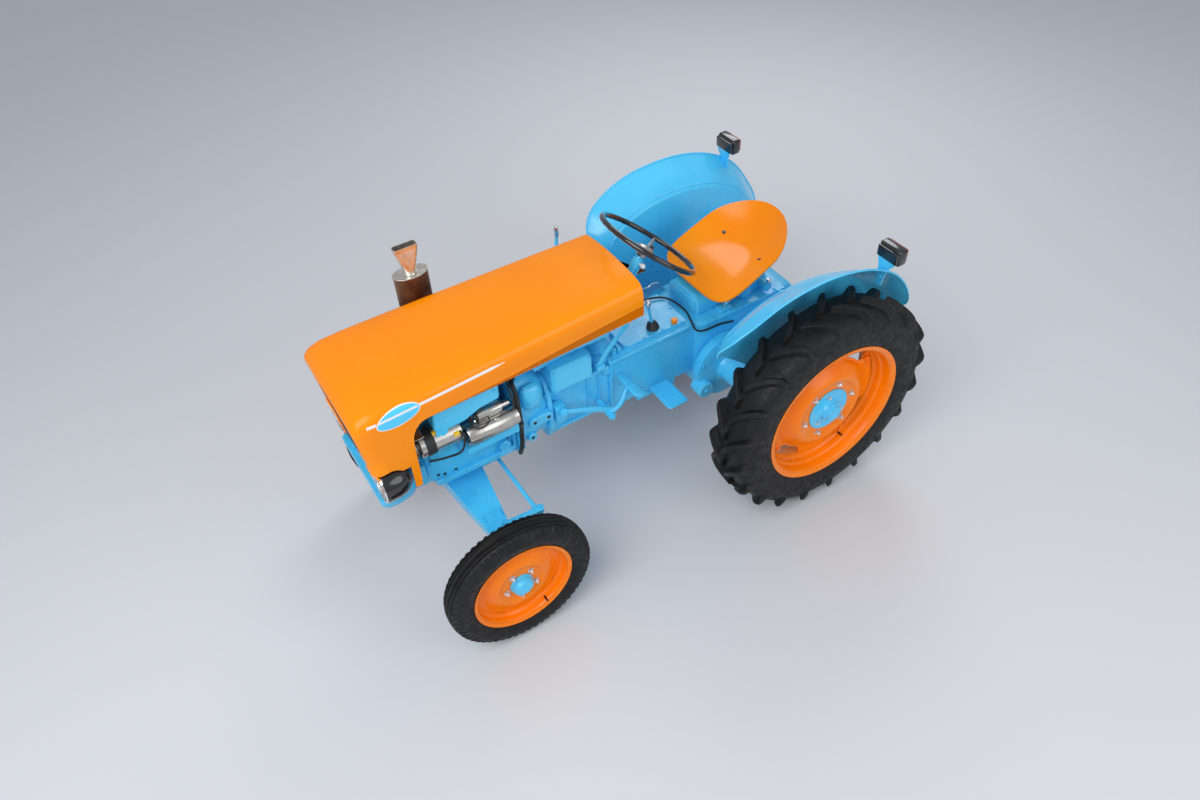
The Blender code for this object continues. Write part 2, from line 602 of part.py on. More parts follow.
def make_hood(frame):
    pivot = add_empty("hood_pivot", (0, HOOD_PIVOT_Y, HOOD_PIVOT_Z), frame)
    back = Vector((0, -HOOD_PIVOT_Y, -HOOD_PIVOT_Z))
    hood = hood_solid("hood", 0.0, 0.0)
    nose = nose_solid("nose_body", 0.0, 0.0)
    inner = hood_solid("hood_hollow", HOOD_WALL, 0.02)
    inner_nose = nose_solid("nose_hollow", HOOD_WALL, 0.02)
    mouth = block("mouth_hole", (-GRILLE_HALF, GRILLE_HALF), (-NOSE_AHEAD - 0.02, -1.70), (GRILLE_LOW_Z,
                                                                                           GRILLE_HIGH_Z),
                  0.030)
    fuse(hood, nose)
    cut(hood, inner, inner_nose, mouth)
    for side in (1, -1):
        hole = rod("lamp_hole", (side * LAMP_X, -NOSE_AHEAD - 0.02, LAMP_Z), (side * LAMP_X,
                                                                              LAMP_REAR_Y + 0.02, LAMP_Z),
                   LAMP_RADIUS + GAP, 24)
        cut(hood, hole)
    for side in (1, -1):
        lug = block("hinge_lug", sorted((side * HINGE_EAR_OUT, side * (HINGE_EAR_OUT + 0.010))),
                    (HOOD_PIVOT_Y - 0.012, HOOD_PIVOT_Y + 0.012), (HOOD_PIVOT_Z - 0.012,
                                                                   HOOD_PIVOT_Z + 0.075))
        hole = rod("lug_hole", (side * 0.09, HOOD_PIVOT_Y, HOOD_PIVOT_Z),
                   (side * 0.14, HOOD_PIVOT_Y, HOOD_PIVOT_Z), HINGE_PIN_RADIUS + GAP, 12)
        fuse(hood, lug)
        cut(hood, hole)
    low, high = GRILLE_LOW_Z - 0.012, GRILLE_HIGH_Z + 0.006
    inner = -NOSE_AHEAD + HOOD_WALL + GAP
    grille = prism("grille", ((inner + rake_back(low), low), (inner + 0.010 + rake_back(low), low),
                              (inner + 0.010 + rake_back(high), high), (inner + rake_back(high),
                                                                        high)), "X",
                   -GRILLE_HALF - 0.012, GRILLE_HALF + 0.012)
    for side in (1, -1):
        room = rod("grille_notch", (side * LAMP_X, -NOSE_AHEAD - 0.02, LAMP_Z), (side * LAMP_X,
                                                                                 LAMP_REAR_Y, LAMP_Z),
                   LAMP_RADIUS + 0.004, 16)
        cut(grille, room)
    parts = [(hood, "orange"), (grille, "black")]
    for side, name in ((1, "left"), (-1, "right")):
        length = LAMP_REAR_Y - LAMP_FRONT_Y
        lamp = turned("headlight_" + name, ((0, 0), (0, LAMP_RADIUS * 0.90), (0.008, LAMP_RADIUS),
                                            (length * 0.55, LAMP_RADIUS), (length * 0.85,
                                                                           LAMP_RADIUS * 0.72),
                                            (length, LAMP_RADIUS * 0.30), (length, 0)),
                      axis=(0, 1, 0), place=(side * LAMP_X, LAMP_FRONT_Y, LAMP_Z), sides=24)
        parts.append((lamp, "black"))
    for obj, colour in parts:
        obj.data.transform(Matrix.Translation(back))
        for modifier in obj.modifiers:
            modifier.object.data.transform(Matrix.Translation(back))
        place_part(obj, colour, pivot)


# ---- driver's place -------------------------------------------------------------------------
def make_seat(frame):
    cx, cy, cz = SEAT_PLACE
    rows = []
    for share in (0.28, 0.46, 0.64, 0.82, 0.94, 1.0):
        bowl = max(share - 0.28, 0.0) / 0.72
        row = []
        for angle in np.linspace(0, math.tau, 25):
            u, v = math.sin(angle), -math.cos(angle)
            wide = SEAT_HALF_WIDTH * share * (1.0 - 0.05 * v)
            long = SEAT_LENGTH / 2 * share
            rear = max(v, 0.0)
            rise = bowl ** 2 * (0.035 * abs(u) ** 1.5 + 0.150 * rear ** 1.5 - 0.040 * max(-v, 0) ** 2)
            row.append((cx + wide * u, cy + long * v, cz + rise))
        rows.append(row)
    bm = bmesh.new()
    grid = [[bm.verts.new(p) for p in row[:-1]] for row in rows]
    centre = bm.verts.new((cx, cy, cz))
    count = len(grid[0])
    for i in range(count):
        bm.faces.new((centre, grid[0][i], grid[0][(i + 1) % count]))
    for one, two in zip(grid, grid[1:]):
        for i in range(count):
            j = (i + 1) % count
            bm.faces.new((one[i], two[i], two[j], one[j]))
    seat = finish_mesh("seat", bm, 50)
    wall = seat.modifiers.new("wall", "SOLIDIFY")
    wall.thickness = SEAT_THICK
    wall.offset = 0.0
    place_part(seat, "orange", frame)

    top = cz - SEAT_THICK / 2 - GAP
    bracket = block("seat_bracket", (-0.030, 0.030), (cy - 0.035, cy + 0.035), (0.872 + GAP, top))
    place_part(bracket, "blue", frame)


# angle from straight up (towards the rear), lip radius, lip x
FENDER_STATIONS = (
    (-47.0, 0.672, 0.455),
    (-38.0, 0.664, 0.515),
    (-25.0, 0.652, 0.525),
    (-10.0, 0.630, 0.525),
    (5.0, 0.614, 0.525),
    (20.0, 0.602, 0.525),
    (35.0, 0.590, 0.525),
    (50.0, 0.562, 0.520),
    (62.0, 0.545, 0.490),
)


def make_fender(frame, side, name):
    """A flat inner wall whose upper edge rolls outwards and up to the lip."""
    grid = []
    for degrees, lip_radius, lip_x in FENDER_STATIONS:
        angle = math.radians(degrees)
        bend = lip_radius - 0.085
        rake = lip_x - FENDER_WALL_X
        section = ((FENDER_WALL_X, FENDER_FOOT_RADIUS), (FENDER_WALL_X, bend - 0.03),
                   (FENDER_WALL_X + rake * 0.10, bend),
                   (FENDER_WALL_X + rake * 0.40, bend + 0.035), (lip_x, lip_radius))
        row = []
        for x, radius in section:
            y = radius * math.sin(angle)
            z = REAR_TYRE_RADIUS + radius * math.cos(angle)
            row.append((side * x, y, z))
        grid.append(row)
    fender = sheet_solid("fender_" + name, grid, FENDER_THICK)
    place_part(fender, "blue", frame)
    return fender


def make_driver_place(frame):
    for side, name in ((1, "left"), (-1, "right")):
        fender = make_fender(frame, side, name)
        stay = block("fender_stay", sorted((side * (REAR_HOUSING_HALF + GAP), side * FENDER_WALL_X)),
                     (-0.03, 0.03),
                     (0.690, 0.715))
        fuse(fender, stay)

        x, y, z = TAIL_LAMP
        wide, deep, tall = TAIL_LAMP_SIZE
        lamp = block("tail_lamp_" + name, sorted((side * (x - wide / 2), side * (x + wide / 2))), (y,
                                                                                                   y + deep),
                     (z - tall / 2, z + tall / 2), 0.008)
        place_part(lamp, "black", frame)
        plate = block("lamp_plate", sorted((side * (x - wide / 2 - 0.03), side * (x + 0.02))),
                      (y - 0.008, y - GAP),
                      (z - 0.145, z + tall / 2 - 0.010))
        fuse(fender, plate)

        foot = block("foot_plate_" + name, sorted((side * (GEARBOX_HALF + GAP), side * 0.275)), (-0.560,
                                                                                                 -0.462),
                     (0.542, 0.552))
        place_part(foot, "blue", frame)

        pedal_x = 0.215
        pad = prism("%s_pedal" % ("clutch" if side > 0 else "brake"),
                    ((-0.765, 0.770), (-0.757, 0.778), (-0.640, 0.655), (-0.648, 0.645)), "X",
                    side * pedal_x - 0.035, side * pedal_x + 0.035)
        shank = rod("pedal_shank", (side * pedal_x, -0.700, 0.708), (side * pedal_x, -0.800, 0.600),
                    0.010, 8)
        pivot = rod("pedal_pivot", (side * (pedal_x + 0.012), -0.800, 0.600),
                    (side * (GEARBOX_HALF + GAP), -0.800, 0.600),
                    0.016, 12)
        place_part(fuse(pad, shank, pivot), "blue", frame)

    top = GEARBOX_TOP_Z + 0.012 + GAP
    boot = turned("gear_lever", ((0, 0), (0, 0.024), (0.030, 0.016), (0.034, 0)), place=(0.055, -0.490,
                                                                                         top), sides=16)
    shaft = rod("lever_shaft", (0.055, -0.490, top + 0.01), (0.057, -0.520, top + 0.140), 0.006, 8)
    knob = turned("lever_knob", ((0, 0), (0.004, 0.010), (0.014, 0.014), (0.024, 0.010), (0.028, 0)),
                  axis=(0, -0.2, 1), place=(0.057, -0.517, top + 0.134), sides=12)
    place_part(fuse(boot, shaft, knob), "steel", frame)

    fuel_tank = block("fuel_tank", (-0.150, 0.150), (ENGINE_REAR_Y + 0.022, -0.740),
                      (BELL_TOP_Z + GAP, 1.115), 0.025)
    place_part(fuel_tank, "blue", frame)

    tank = block("side_tank", (0.060, 0.165), (BELL_REAR_Y + GAP, -0.840), (GEARBOX_TOP_Z + GAP, 0.910),
                 0.012)
    place_part(tank, "blue", frame)

    hitch = block("tow_hitch", (-0.035, 0.035), (REAR_HOUSING_REAR_Y + GAP, 0.330), (0.430, 0.475), 0.004)
    hole = rod("hitch_hole", (0, 0.300, 0.41), (0, 0.300, 0.49), 0.011, 16)
    place_part(cut(hitch, hole), "blue", frame)


def make_exhaust(frame):
    x, y = EXHAUST_CENTRE
    rings = []
    for z, grow in ((EXHAUST_BOTTOM_Z, -0.008), (EXHAUST_BOTTOM_Z + 0.012, 0.0), (EXHAUST_TOP_Z - 0.010,
                                                                                  0.0),
                    (EXHAUST_TOP_Z, -0.006)):
        rings.append([(x + (EXHAUST_HALF_X + grow) * math.cos(a),
                       y + (EXHAUST_HALF_Y + grow) * math.sin(a), z)
                      for a in np.linspace(0, math.tau, 25)[:-1]])
    can = loft("exhaust_muffler", rings, 40)
    neck = rod("exhaust_neck", (x, y - 0.01, EXHAUST_TOP_Z - 0.01), (x, y - 0.01,
                                                                     EXHAUST_TOP_Z + 0.035), 0.024, 12)
    tail = loft("exhaust_tail", [
        [(x - 0.026, y - 0.034, EXHAUST_TOP_Z + 0.025), (x + 0.024, y - 0.034, EXHAUST_TOP_Z + 0.025),
         (x + 0.024, y + 0.014, EXHAUST_TOP_Z + 0.025), (x - 0.026, y + 0.014, EXHAUST_TOP_Z + 0.025)],
        [(x - 0.040, y - 0.044, OUTLET_TOP_Z), (x + 0.012, y - 0.044, OUTLET_TOP_Z),
         (x + 0.012, y + 0.026, OUTLET_TOP_Z), (x - 0.040, y + 0.026, OUTLET_TOP_Z)]])
    down = rod("exhaust_down", (x, y, EXHAUST_BOTTOM_Z + 0.01), (x, y, 0.900), 0.022, 12)
    across = rod("exhaust_across", (x - 0.020, y, 0.905), (-CYLINDER_HALF - GAP, y, 0.905), 0.022, 12)
    place_part(fuse(can, neck, tail, down, across), "rust", frame)


def make_cords(frame):
    lie = ENGINE_REAR_Y - LOOM_RADIUS - 2 * GAP
    route = ((0.140, lie, 0.975), (0.185, lie, 0.935), (0.224, lie, 0.875), (0.229, lie, 0.800),
             (0.214, lie, 0.720), (0.186, lie, 0.650), (0.1685, lie, 0.600), (0.1680, lie, 0.570))
    curve = bpy.data.curves.new("wiring_loom", "CURVE")
    curve.dimensions = "3D"
    points = smooth_route(route, 18)
    spline = curve.splines.new("POLY")
    spline.points.add(len(points) - 1)
    for point, place in zip(spline.points, points):
        point.co = (*place, 1.0)
    curve.bevel_depth = LOOM_RADIUS
    curve.bevel_resolution = 2
    curve.use_fill_caps = True
    obj = bpy.data.objects.new("wiring_loom", curve)
    bpy.context.collection.objects.link(obj)
    place_part(obj, "rubber", frame)


def smooth_route(route, count):
    """Points evenly spread on a Catmull-Rom curve through the route's own points."""
    ends = [2 * Vector(route[0]) - Vector(route[1])] + [Vector(p) for p in route] + \
        [2 * Vector(route[-1]) - Vector(route[-2])]
    out = []
    spans = len(route) - 1
    for place in np.linspace(0, spans, count):
        i = min(int(place), spans - 1)
        t = place - i
        a, b, c, d = ends[i:i + 4]
        out.append(0.5 * ((2 * b) + (c - a) * t + (2 * a - 5 * b + 4 * c - d) * t * t
                          + (3 * b - a - 3 * c + d) * t ** 3))
    return out


def main():
    clear_scene()
    frame = add_empty("tractor_frame", (0, REAR_AXLE_Y, 0))
    make_engine(frame)
    make_driveline(frame)
    make_front_axle(frame)
    make_rear_wheels(frame)
    make_front_wheels(frame)
    make_steering(frame)
    make_hood(frame)
    make_seat(frame)
    make_driver_place(frame)
    make_exhaust(frame)
    make_cords(frame)
    bpy.context.view_layer.update()


main()
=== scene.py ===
import json
import math

import bmesh
import bpy
import numpy as np
from mathutils import Matrix, Vector


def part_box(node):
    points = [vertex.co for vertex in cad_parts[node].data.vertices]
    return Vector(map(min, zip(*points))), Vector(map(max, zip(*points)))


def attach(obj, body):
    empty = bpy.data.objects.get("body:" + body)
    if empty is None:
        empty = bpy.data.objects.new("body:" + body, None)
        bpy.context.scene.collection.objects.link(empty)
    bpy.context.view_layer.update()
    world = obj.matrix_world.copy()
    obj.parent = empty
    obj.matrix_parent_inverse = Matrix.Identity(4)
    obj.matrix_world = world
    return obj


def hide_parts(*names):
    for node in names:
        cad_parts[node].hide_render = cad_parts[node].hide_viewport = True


# Compact vintage tractor: enamelled sheet metal, castings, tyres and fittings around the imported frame.
# +Z is up, the nose looks along -Y, the driver's left is +X; all sizes are metres.
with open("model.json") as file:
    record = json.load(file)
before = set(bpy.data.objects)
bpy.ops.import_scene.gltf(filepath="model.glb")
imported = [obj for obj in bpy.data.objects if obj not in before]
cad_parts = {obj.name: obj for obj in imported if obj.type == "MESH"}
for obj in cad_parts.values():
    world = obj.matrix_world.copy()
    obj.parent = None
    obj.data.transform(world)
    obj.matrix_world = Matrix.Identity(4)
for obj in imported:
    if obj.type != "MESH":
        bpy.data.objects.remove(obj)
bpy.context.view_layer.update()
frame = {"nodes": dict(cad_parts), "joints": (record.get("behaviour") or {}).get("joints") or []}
nodes = frame["nodes"]
jointPlace = {joint["name"]: np.array(joint["pos_m"]) for joint in frame["joints"]}
# pieces are laid out from the rear axle's line on the floor, and shifted to the frame when they are made
rearAxle = np.array((0.0, jointPlace["rear_wheel_left_spin"][1], 0.0))
rearHub = jointPlace["rear_wheel_left_spin"] - rearAxle
frontHub = jointPlace["front_wheel_left_spin"] - rearAxle


# ---- numpy surface helpers ----
def gridQuads(rows, cols, wrapRows=False, wrapCols=False):
    # quads between neighbouring rows and columns; a wrapped side joins its last line to its first
    r, c = np.meshgrid(np.arange(rows - (not wrapRows)), np.arange(cols - (not wrapCols)), indexing="ij")
    rNext, cNext = (r + 1) % rows, (c + 1) % cols
    return np.stack((r * cols + c, rNext * cols + c, rNext * cols + cNext, r * cols + cNext), -1).reshape(-1, 4)


def meshPiece(name, points, faces, material, body, smooth=35.0, replaces=(), closed=True):
    mesh = bpy.data.meshes.new(name)
    placed = np.asarray(points, float).reshape(-1, 3) + rearAxle
    mesh.from_pydata(placed.tolist(), [], [list(f) for f in faces])
    work = bmesh.new()
    work.from_mesh(mesh)
    bmesh.ops.remove_doubles(work, verts=work.verts, dist=1e-6)
    if closed:
        bmesh.ops.recalc_face_normals(work, faces=work.faces)
    work.to_mesh(mesh)
    work.free()
    mesh.shade_smooth()
    mesh.set_sharp_from_angle(angle=math.radians(smooth))
    piece = bpy.data.objects.new(name, mesh)
    bpy.context.scene.collection.objects.link(piece)
    mesh.materials.append(material)
    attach(piece, body)
    if replaces:
        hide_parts(*replaces)
    return piece


class Shell:
    # gathers closed shells, then makes one mesh of them
    def __init__(self):
        self.points, self.faces, self.count = [], [], 0

    def add(self, points, faces):
        points = np.asarray(points, float).reshape(-1, 3)
        self.points.append(points)
        self.faces += [[i + self.count for i in f] for f in faces]
        self.count += len(points)
        return self

    def rings(self, rings, loop=False):
        # closed rings of one length, joined in order; ends take flat caps unless the rings loop
        rings = np.asarray(rings, float)
        n, m = rings.shape[:2]
        faces = gridQuads(n, m, loop, True).tolist()
        if not loop:
            faces += [list(range(m))[::-1], list(range((n - 1) * m, n * m))]
        return self.add(rings, faces)

    def turned(self, profile, axis, place, sides=48, spin=0.0):
        # radius at each step along an axis, carried round it: closed at both ends
        profile = np.asarray(profile, float)
        u, v, w = axisFrame(axis)
        a = np.linspace(0, math.tau, sides, endpoint=False) + spin
        around = np.cos(a)[:, None] * u + np.sin(a)[:, None] * v
        rings = np.asarray(place, float) + profile[:, 0, None, None] * w + profile[:, 1, None, None] * around
        return self.rings(rings)

    def lathe(self, profile, axis, place, sides=48):
        # a closed (along, radius) outline carried round an axis: a ring with no ends
        profile = np.asarray(profile, float)
        u, v, w = axisFrame(axis)
        a = np.linspace(0, math.tau, sides, endpoint=False)
        around = np.cos(a)[:, None, None] * u + np.sin(a)[:, None, None] * v
        rings = np.asarray(place, float) + profile[None, :, 0, None] * w + profile[None, :, 1, None] * around
        return self.rings(rings, loop=True)

    def tube(self, path, radius, sides=12, reference=(0, 0, 1), flatten=1.0):
        # a circle carried along a path, square to it, its radius given once or per point
        path = np.asarray(path, float)
        along = np.gradient(path, axis=0)
        along /= np.linalg.norm(along, axis=1)[:, None]
        side = np.cross(along, np.asarray(reference, float))
        side /= np.linalg.norm(side, axis=1)[:, None]
        over = np.cross(side, along)
        a = np.linspace(0, math.tau, sides, endpoint=False)
        r = np.broadcast_to(np.asarray(radius, float), (len(path),))[:, None, None]
        ring = np.cos(a)[None, :, None] * side[:, None] + flatten * np.sin(a)[None, :, None] * over[:, None]
        return self.rings(path[:, None] + r * ring)

    def block(self, low, high, bevel=0.004, lean=None):
        # a box whose twelve edges are rounded: corner arcs carried between limits, smaller at both ends
        low, high = np.asarray(low, float), np.asarray(high, float)
        bevel = min(bevel, 0.49 * (high - low).min())
        steps = np.radians(np.linspace(0, 90, 4))
        outline = []
        for quarter, (sx, sy) in enumerate(((1, 1), (-1, 1), (-1, -1), (1, -1))):
            a = steps + quarter * math.pi / 2
            outline.append(np.stack((np.cos(a), np.sin(a), np.full(4, sx), np.full(4, sy)), -1))
        outline = np.concatenate(outline)
        half, middle = (high - low) / 2, (high + low) / 2
        rings = []
        for end, start in ((-1, -90), (1, 0)):
            for t in np.radians(np.linspace(start, start + 90, 4)):
                r, z = bevel * math.cos(t), end * (half[2] - bevel) + bevel * math.sin(t)
                x = outline[:, 2] * (half[0] - bevel) + r * outline[:, 0]
                y = outline[:, 3] * (half[1] - bevel) + r * outline[:, 1]
                rings.append(np.stack((x, y, np.full(16, z)), -1) + middle)
        rings = np.array(rings)
        if lean is not None:
            rings = (rings - middle) @ np.array(lean).T + middle
        return self.rings(rings)

    def prism(self, outline, axis, low, high, bevel=0.0):
        # an outline of (u, v) carried along X, Y or Z, drawn in a little at both ends
        outline = np.asarray(outline, float)
        middle = outline.mean(0)
        size = np.abs(outline - middle).max(0)
        steps = ((low, bevel), (low + bevel, 0), (high - bevel, 0), (high, bevel)) if bevel else ((low, 0), (high, 0))
        rings = []
        for w, inset in steps:
            uv = middle + (outline - middle) * (1 - inset / size)
            order = {"X": (np.full(len(uv), w), uv[:, 0], uv[:, 1]), "Y": (uv[:, 0], np.full(len(uv), w), uv[:, 1]),
                     "Z": (uv[:, 0], uv[:, 1], np.full(len(uv), w))}[axis]
            rings.append(np.stack(order, -1))
        return self.rings(rings)

    def bolts(self, places, axis, radius=0.007, height=0.006, washer=True):
        # hexagon heads with a washer and a chamfer, all worked out at once and set at each place
        u, v, w = axisFrame(axis)
        a = np.arange(12) * math.pi / 6
        hexagon = np.where(np.arange(12) % 2 == 0, 1.0, math.cos(math.pi / 6))
        steps = [(0, 1.35, 0), (0.22, 1.35, 0), (0.22, 1.0, 1)] if washer else [(0, 1.0, 1)]
        steps += [(0.90, 1.0, 1), (1.0, 0.86, 0)]
        rings = []
        for rise, wide, six in steps:
            r = radius * wide * (hexagon if six else np.ones(12))
            rings.append(rise * height * w + r[:, None] * (np.cos(a)[:, None] * u + np.sin(a)[:, None] * v))
        one = np.array(rings)
        for place in np.asarray(places, float).reshape(-1, 3):
            self.rings(one + place)
        return self

    def make(self, name, material, body, slot, smooth=35.0, replaces=()):
        return meshPiece(name, np.concatenate(self.points), self.faces, material, body, smooth, replaces)


def axisFrame(axis):
    # two directions square to an axis, and the axis itself at unit length
    w = np.asarray(axis, float) / np.linalg.norm(axis)
    u = np.cross(w, (0, 0, 1.0) if abs(w[2]) < 0.9 else (0, 1.0, 0))
    u /= np.linalg.norm(u)
    return u, np.cross(w, u), w


def smoothPath(points, count=40):
    # a Catmull-Rom curve through the points, read at even steps of its parameter
    p = np.asarray(points, float)
    p = np.concatenate(((2 * p[0] - p[1])[None], p, (2 * p[-1] - p[-2])[None]))
    t = np.linspace(0, len(p) - 3 - 1e-9, count)
    i = t.astype(int)
    f = (t - i).reshape((-1,) + (1,) * (p.ndim - 1))
    a, b, c, d = p[i], p[i + 1], p[i + 2], p[i + 3]
    return 0.5 * (2 * b + (c - a) * f + (2 * a - 5 * b + 4 * c - d) * f ** 2 + (3 * b - a - 3 * c + d) * f ** 3)


def circlePlaces(centre, radius, axis, count, turn=0.0):
    u, v, w = axisFrame(axis)
    a = np.linspace(0, math.tau, count, endpoint=False) + math.radians(turn)
    return np.asarray(centre, float) + radius * (np.cos(a)[:, None] * u + np.sin(a)[:, None] * v)


# ---- finishes: every pattern reads Object coordinates ----
finishes = {
    "orangeEnamel": {"colour": (0.99, 0.262, 0.0), "second": (1.0, 0.298, 0.0), "patchScale": 2.2,
                     "rough": (0.22, 0.30), "coat": 0.06, "specular": 0.24, "bumps": ((420, 0.05, 0.0004), (9, 0.05, 0.002))},
    "wheelEnamel": {"colour": (0.98, 0.205, 0.0), "second": (1.0, 0.240, 0.0), "patchScale": 6.0,
                    "rough": (0.22, 0.34), "coat": 0.08, "specular": 0.30, "bumps": ((300, 0.09, 0.0005), (30, 0.06, 0.001))},
    "blueEnamel": {"colour": (0.066, 0.560, 0.930), "second": (0.086, 0.620, 0.965), "patchScale": 4.0,
                   "rough": (0.20, 0.32), "coat": 0.25, "bumps": ((320, 0.08, 0.0005), (26, 0.06, 0.001))},
    "blueCasting": {"colour": (0.056, 0.530, 0.900), "second": (0.078, 0.590, 0.945), "patchScale": 9.0,
                    "rough": (0.26, 0.46), "coat": 0.25, "bumps": ((210, 0.30, 0.0010), (55, 0.16, 0.0015)),
                    "dirt": (0.030, 0.230, 0.450)},
    "tyreRubber": {"colour": (0.0058, 0.0058, 0.0064), "second": (0.0125, 0.0122, 0.0120), "patchScale": 14.0,
                   "rough": (0.44, 0.72), "coat": 0.0, "specular": 0.32, "bumps": ((380, 0.25, 0.0006), (60, 0.10, 0.001))},
    "blackGloss": {"colour": (0.010, 0.010, 0.012), "second": (0.016, 0.016, 0.018), "patchScale": 20.0,
                   "rough": (0.10, 0.20), "coat": 0.6, "bumps": ((500, 0.03, 0.0003),)},
    "blackSatin": {"colour": (0.013, 0.013, 0.014), "second": (0.022, 0.022, 0.023), "patchScale": 30.0,
                   "rough": (0.36, 0.55), "coat": 0.0, "bumps": ((600, 0.15, 0.0004),)},
    "zincPlate": {"colour": (0.52, 0.49, 0.44), "second": (0.64, 0.62, 0.58), "patchScale": 9.0, "metal": 1.0,
                  "rough": (0.24, 0.34), "coat": 0.0, "bumps": ((450, 0.03, 0.0003),)},
    "brightChrome": {"colour": (0.78, 0.79, 0.80), "second": (0.84, 0.85, 0.86), "patchScale": 12.0, "metal": 1.0,
                     "rough": (0.05, 0.13), "coat": 0.0, "bumps": ((300, 0.03, 0.0003),)},
    "darkSteel": {"colour": (0.10, 0.085, 0.072), "second": (0.20, 0.175, 0.15), "patchScale": 24.0, "metal": 0.85,
                  "rough": (0.34, 0.55), "coat": 0.0, "bumps": ((260, 0.20, 0.0006),)},
    "burntSteel": {"colour": (0.105, 0.040, 0.016), "second": (0.30, 0.135, 0.060), "patchScale": 11.0, "metal": 0.75,
                   "rough": (0.28, 0.52), "coat": 0.0, "bumps": ((240, 0.22, 0.0006),), "dirt": (0.060, 0.070, 0.100)},
    "paleSteel": {"colour": (0.62, 0.58, 0.50), "second": (0.78, 0.75, 0.70), "patchScale": 24.0, "metal": 0.9,
                  "rough": (0.22, 0.42), "coat": 0.0, "bumps": ((260, 0.15, 0.0005),), "dirt": (0.42, 0.27, 0.11)},
    "cableBlack": {"colour": (0.010, 0.010, 0.010), "second": (0.018, 0.018, 0.018), "patchScale": 40.0,
                   "rough": (0.35, 0.50), "coat": 0.0, "bumps": ((700, 0.12, 0.0003),)},
    "whitePaint": {"colour": (0.80, 0.80, 0.78), "second": (0.86, 0.86, 0.84), "patchScale": 10.0,
                   "rough": (0.22, 0.34), "coat": 0.3, "bumps": ((420, 0.04, 0.0003),)},
    "yellowPlug": {"colour": (0.85, 0.52, 0.02), "second": (0.92, 0.60, 0.04), "patchScale": 30.0,
                   "rough": (0.35, 0.5), "coat": 0.0, "bumps": ((420, 0.08, 0.0003),)},
    "redLens": {"colour": (0.42, 0.006, 0.006), "second": (0.50, 0.012, 0.010), "patchScale": 30.0,
                "rough": (0.08, 0.16), "coat": 0.5, "bumps": ((300, 0.05, 0.0004),)},
}


def makeFinish(name, s):
    material = bpy.data.materials.new(name)
    material.use_nodes = True
    tree, shader = material.node_tree, material.node_tree.nodes["Principled BSDF"]
    link, place = tree.links.new, tree.nodes.new("ShaderNodeTexCoord").outputs["Object"]

    def noise(scale, detail=4.0):
        n = tree.nodes.new("ShaderNodeTexNoise")
        n.inputs["Scale"].default_value, n.inputs["Detail"].default_value = scale, detail
        link(place, n.inputs["Vector"])
        return n.outputs["Fac"]

    def spread(value, low, high):
        m = tree.nodes.new("ShaderNodeMapRange")
        for key, number in (("From Min", 0.35), ("From Max", 0.65), ("To Min", low), ("To Max", high)):
            m.inputs[key].default_value = number
        link(value, m.inputs["Value"])
        return m.outputs["Result"]

    def blendColours(share, one, two):
        mix = tree.nodes.new("ShaderNodeMix")
        mix.data_type = "RGBA"
        link(share, mix.inputs["Factor"])
        for socket, colour in ((mix.inputs[6], one), (mix.inputs[7], two)):
            if isinstance(colour, tuple):
                socket.default_value = (*colour, 1)
            else:
                link(colour, socket)
        return mix.outputs[2]

    colour = blendColours(spread(noise(s["patchScale"]), 0, 1), s["colour"], s["second"])
    if "dirt" in s:                       # sparse darker specks and stains
        m = tree.nodes.new("ShaderNodeMapRange")
        for key, number in (("From Min", 0.62), ("From Max", 0.80), ("To Min", 0.0), ("To Max", 0.7)):
            m.inputs[key].default_value = number
        link(noise(s["patchScale"] * 6, 8.0), m.inputs["Value"])
        colour = blendColours(m.outputs["Result"], colour, s["dirt"])
    link(colour, shader.inputs["Base Color"])
    link(spread(noise(s["patchScale"] * 3), *s["rough"]), shader.inputs["Roughness"])
    shader.inputs["Metallic"].default_value = s.get("metal", 0.0)
    shader.inputs["Specular IOR Level"].default_value = s.get("specular", 0.5)
    shader.inputs["Coat Weight"].default_value = s["coat"]
    shader.inputs["Coat Roughness"].default_value = 0.07
    normal = None
    for scale, strength, depth in s["bumps"]:
        bump = tree.nodes.new("ShaderNodeBump")
        bump.inputs["Strength"].default_value, bump.inputs["Distance"].default_value = strength, depth
        link(noise(scale, 2.0), bump.inputs["Height"])
        if normal:
            link(normal, bump.inputs["Normal"])
        normal = bump.outputs["Normal"]
    link(normal, shader.inputs["Normal"])
    return material


paint = {name: makeFinish(name, settings) for name, settings in finishes.items()}


def makeGlass():
    # clear moulded glass: fine upright ribs from a wave, seen through to the reflector
    material = bpy.data.materials.new("lampGlass")
    material.use_nodes = True
    tree, shader = material.node_tree, material.node_tree.nodes["Principled BSDF"]
    place = tree.nodes.new("ShaderNodeTexCoord").outputs["Object"]
    wave = tree.nodes.new("ShaderNodeTexWave")
    wave.bands_direction = "X"
    wave.inputs["Scale"].default_value = 60
    bump = tree.nodes.new("ShaderNodeBump")
    bump.inputs["Strength"].default_value, bump.inputs["Distance"].default_value = 0.5, 0.001
    tree.links.new(place, wave.inputs["Vector"])
    tree.links.new(wave.outputs["Fac"], bump.inputs["Height"])
    tree.links.new(bump.outputs["Normal"], shader.inputs["Normal"])
    for key, value in (("Base Color", (0.93, 0.95, 0.96, 1)), ("Roughness", 0.06), ("Transmission Weight", 1.0),
                       ("IOR", 1.45)):
        shader.inputs[key].default_value = value
    return material


paint["lampGlass"] = makeGlass()

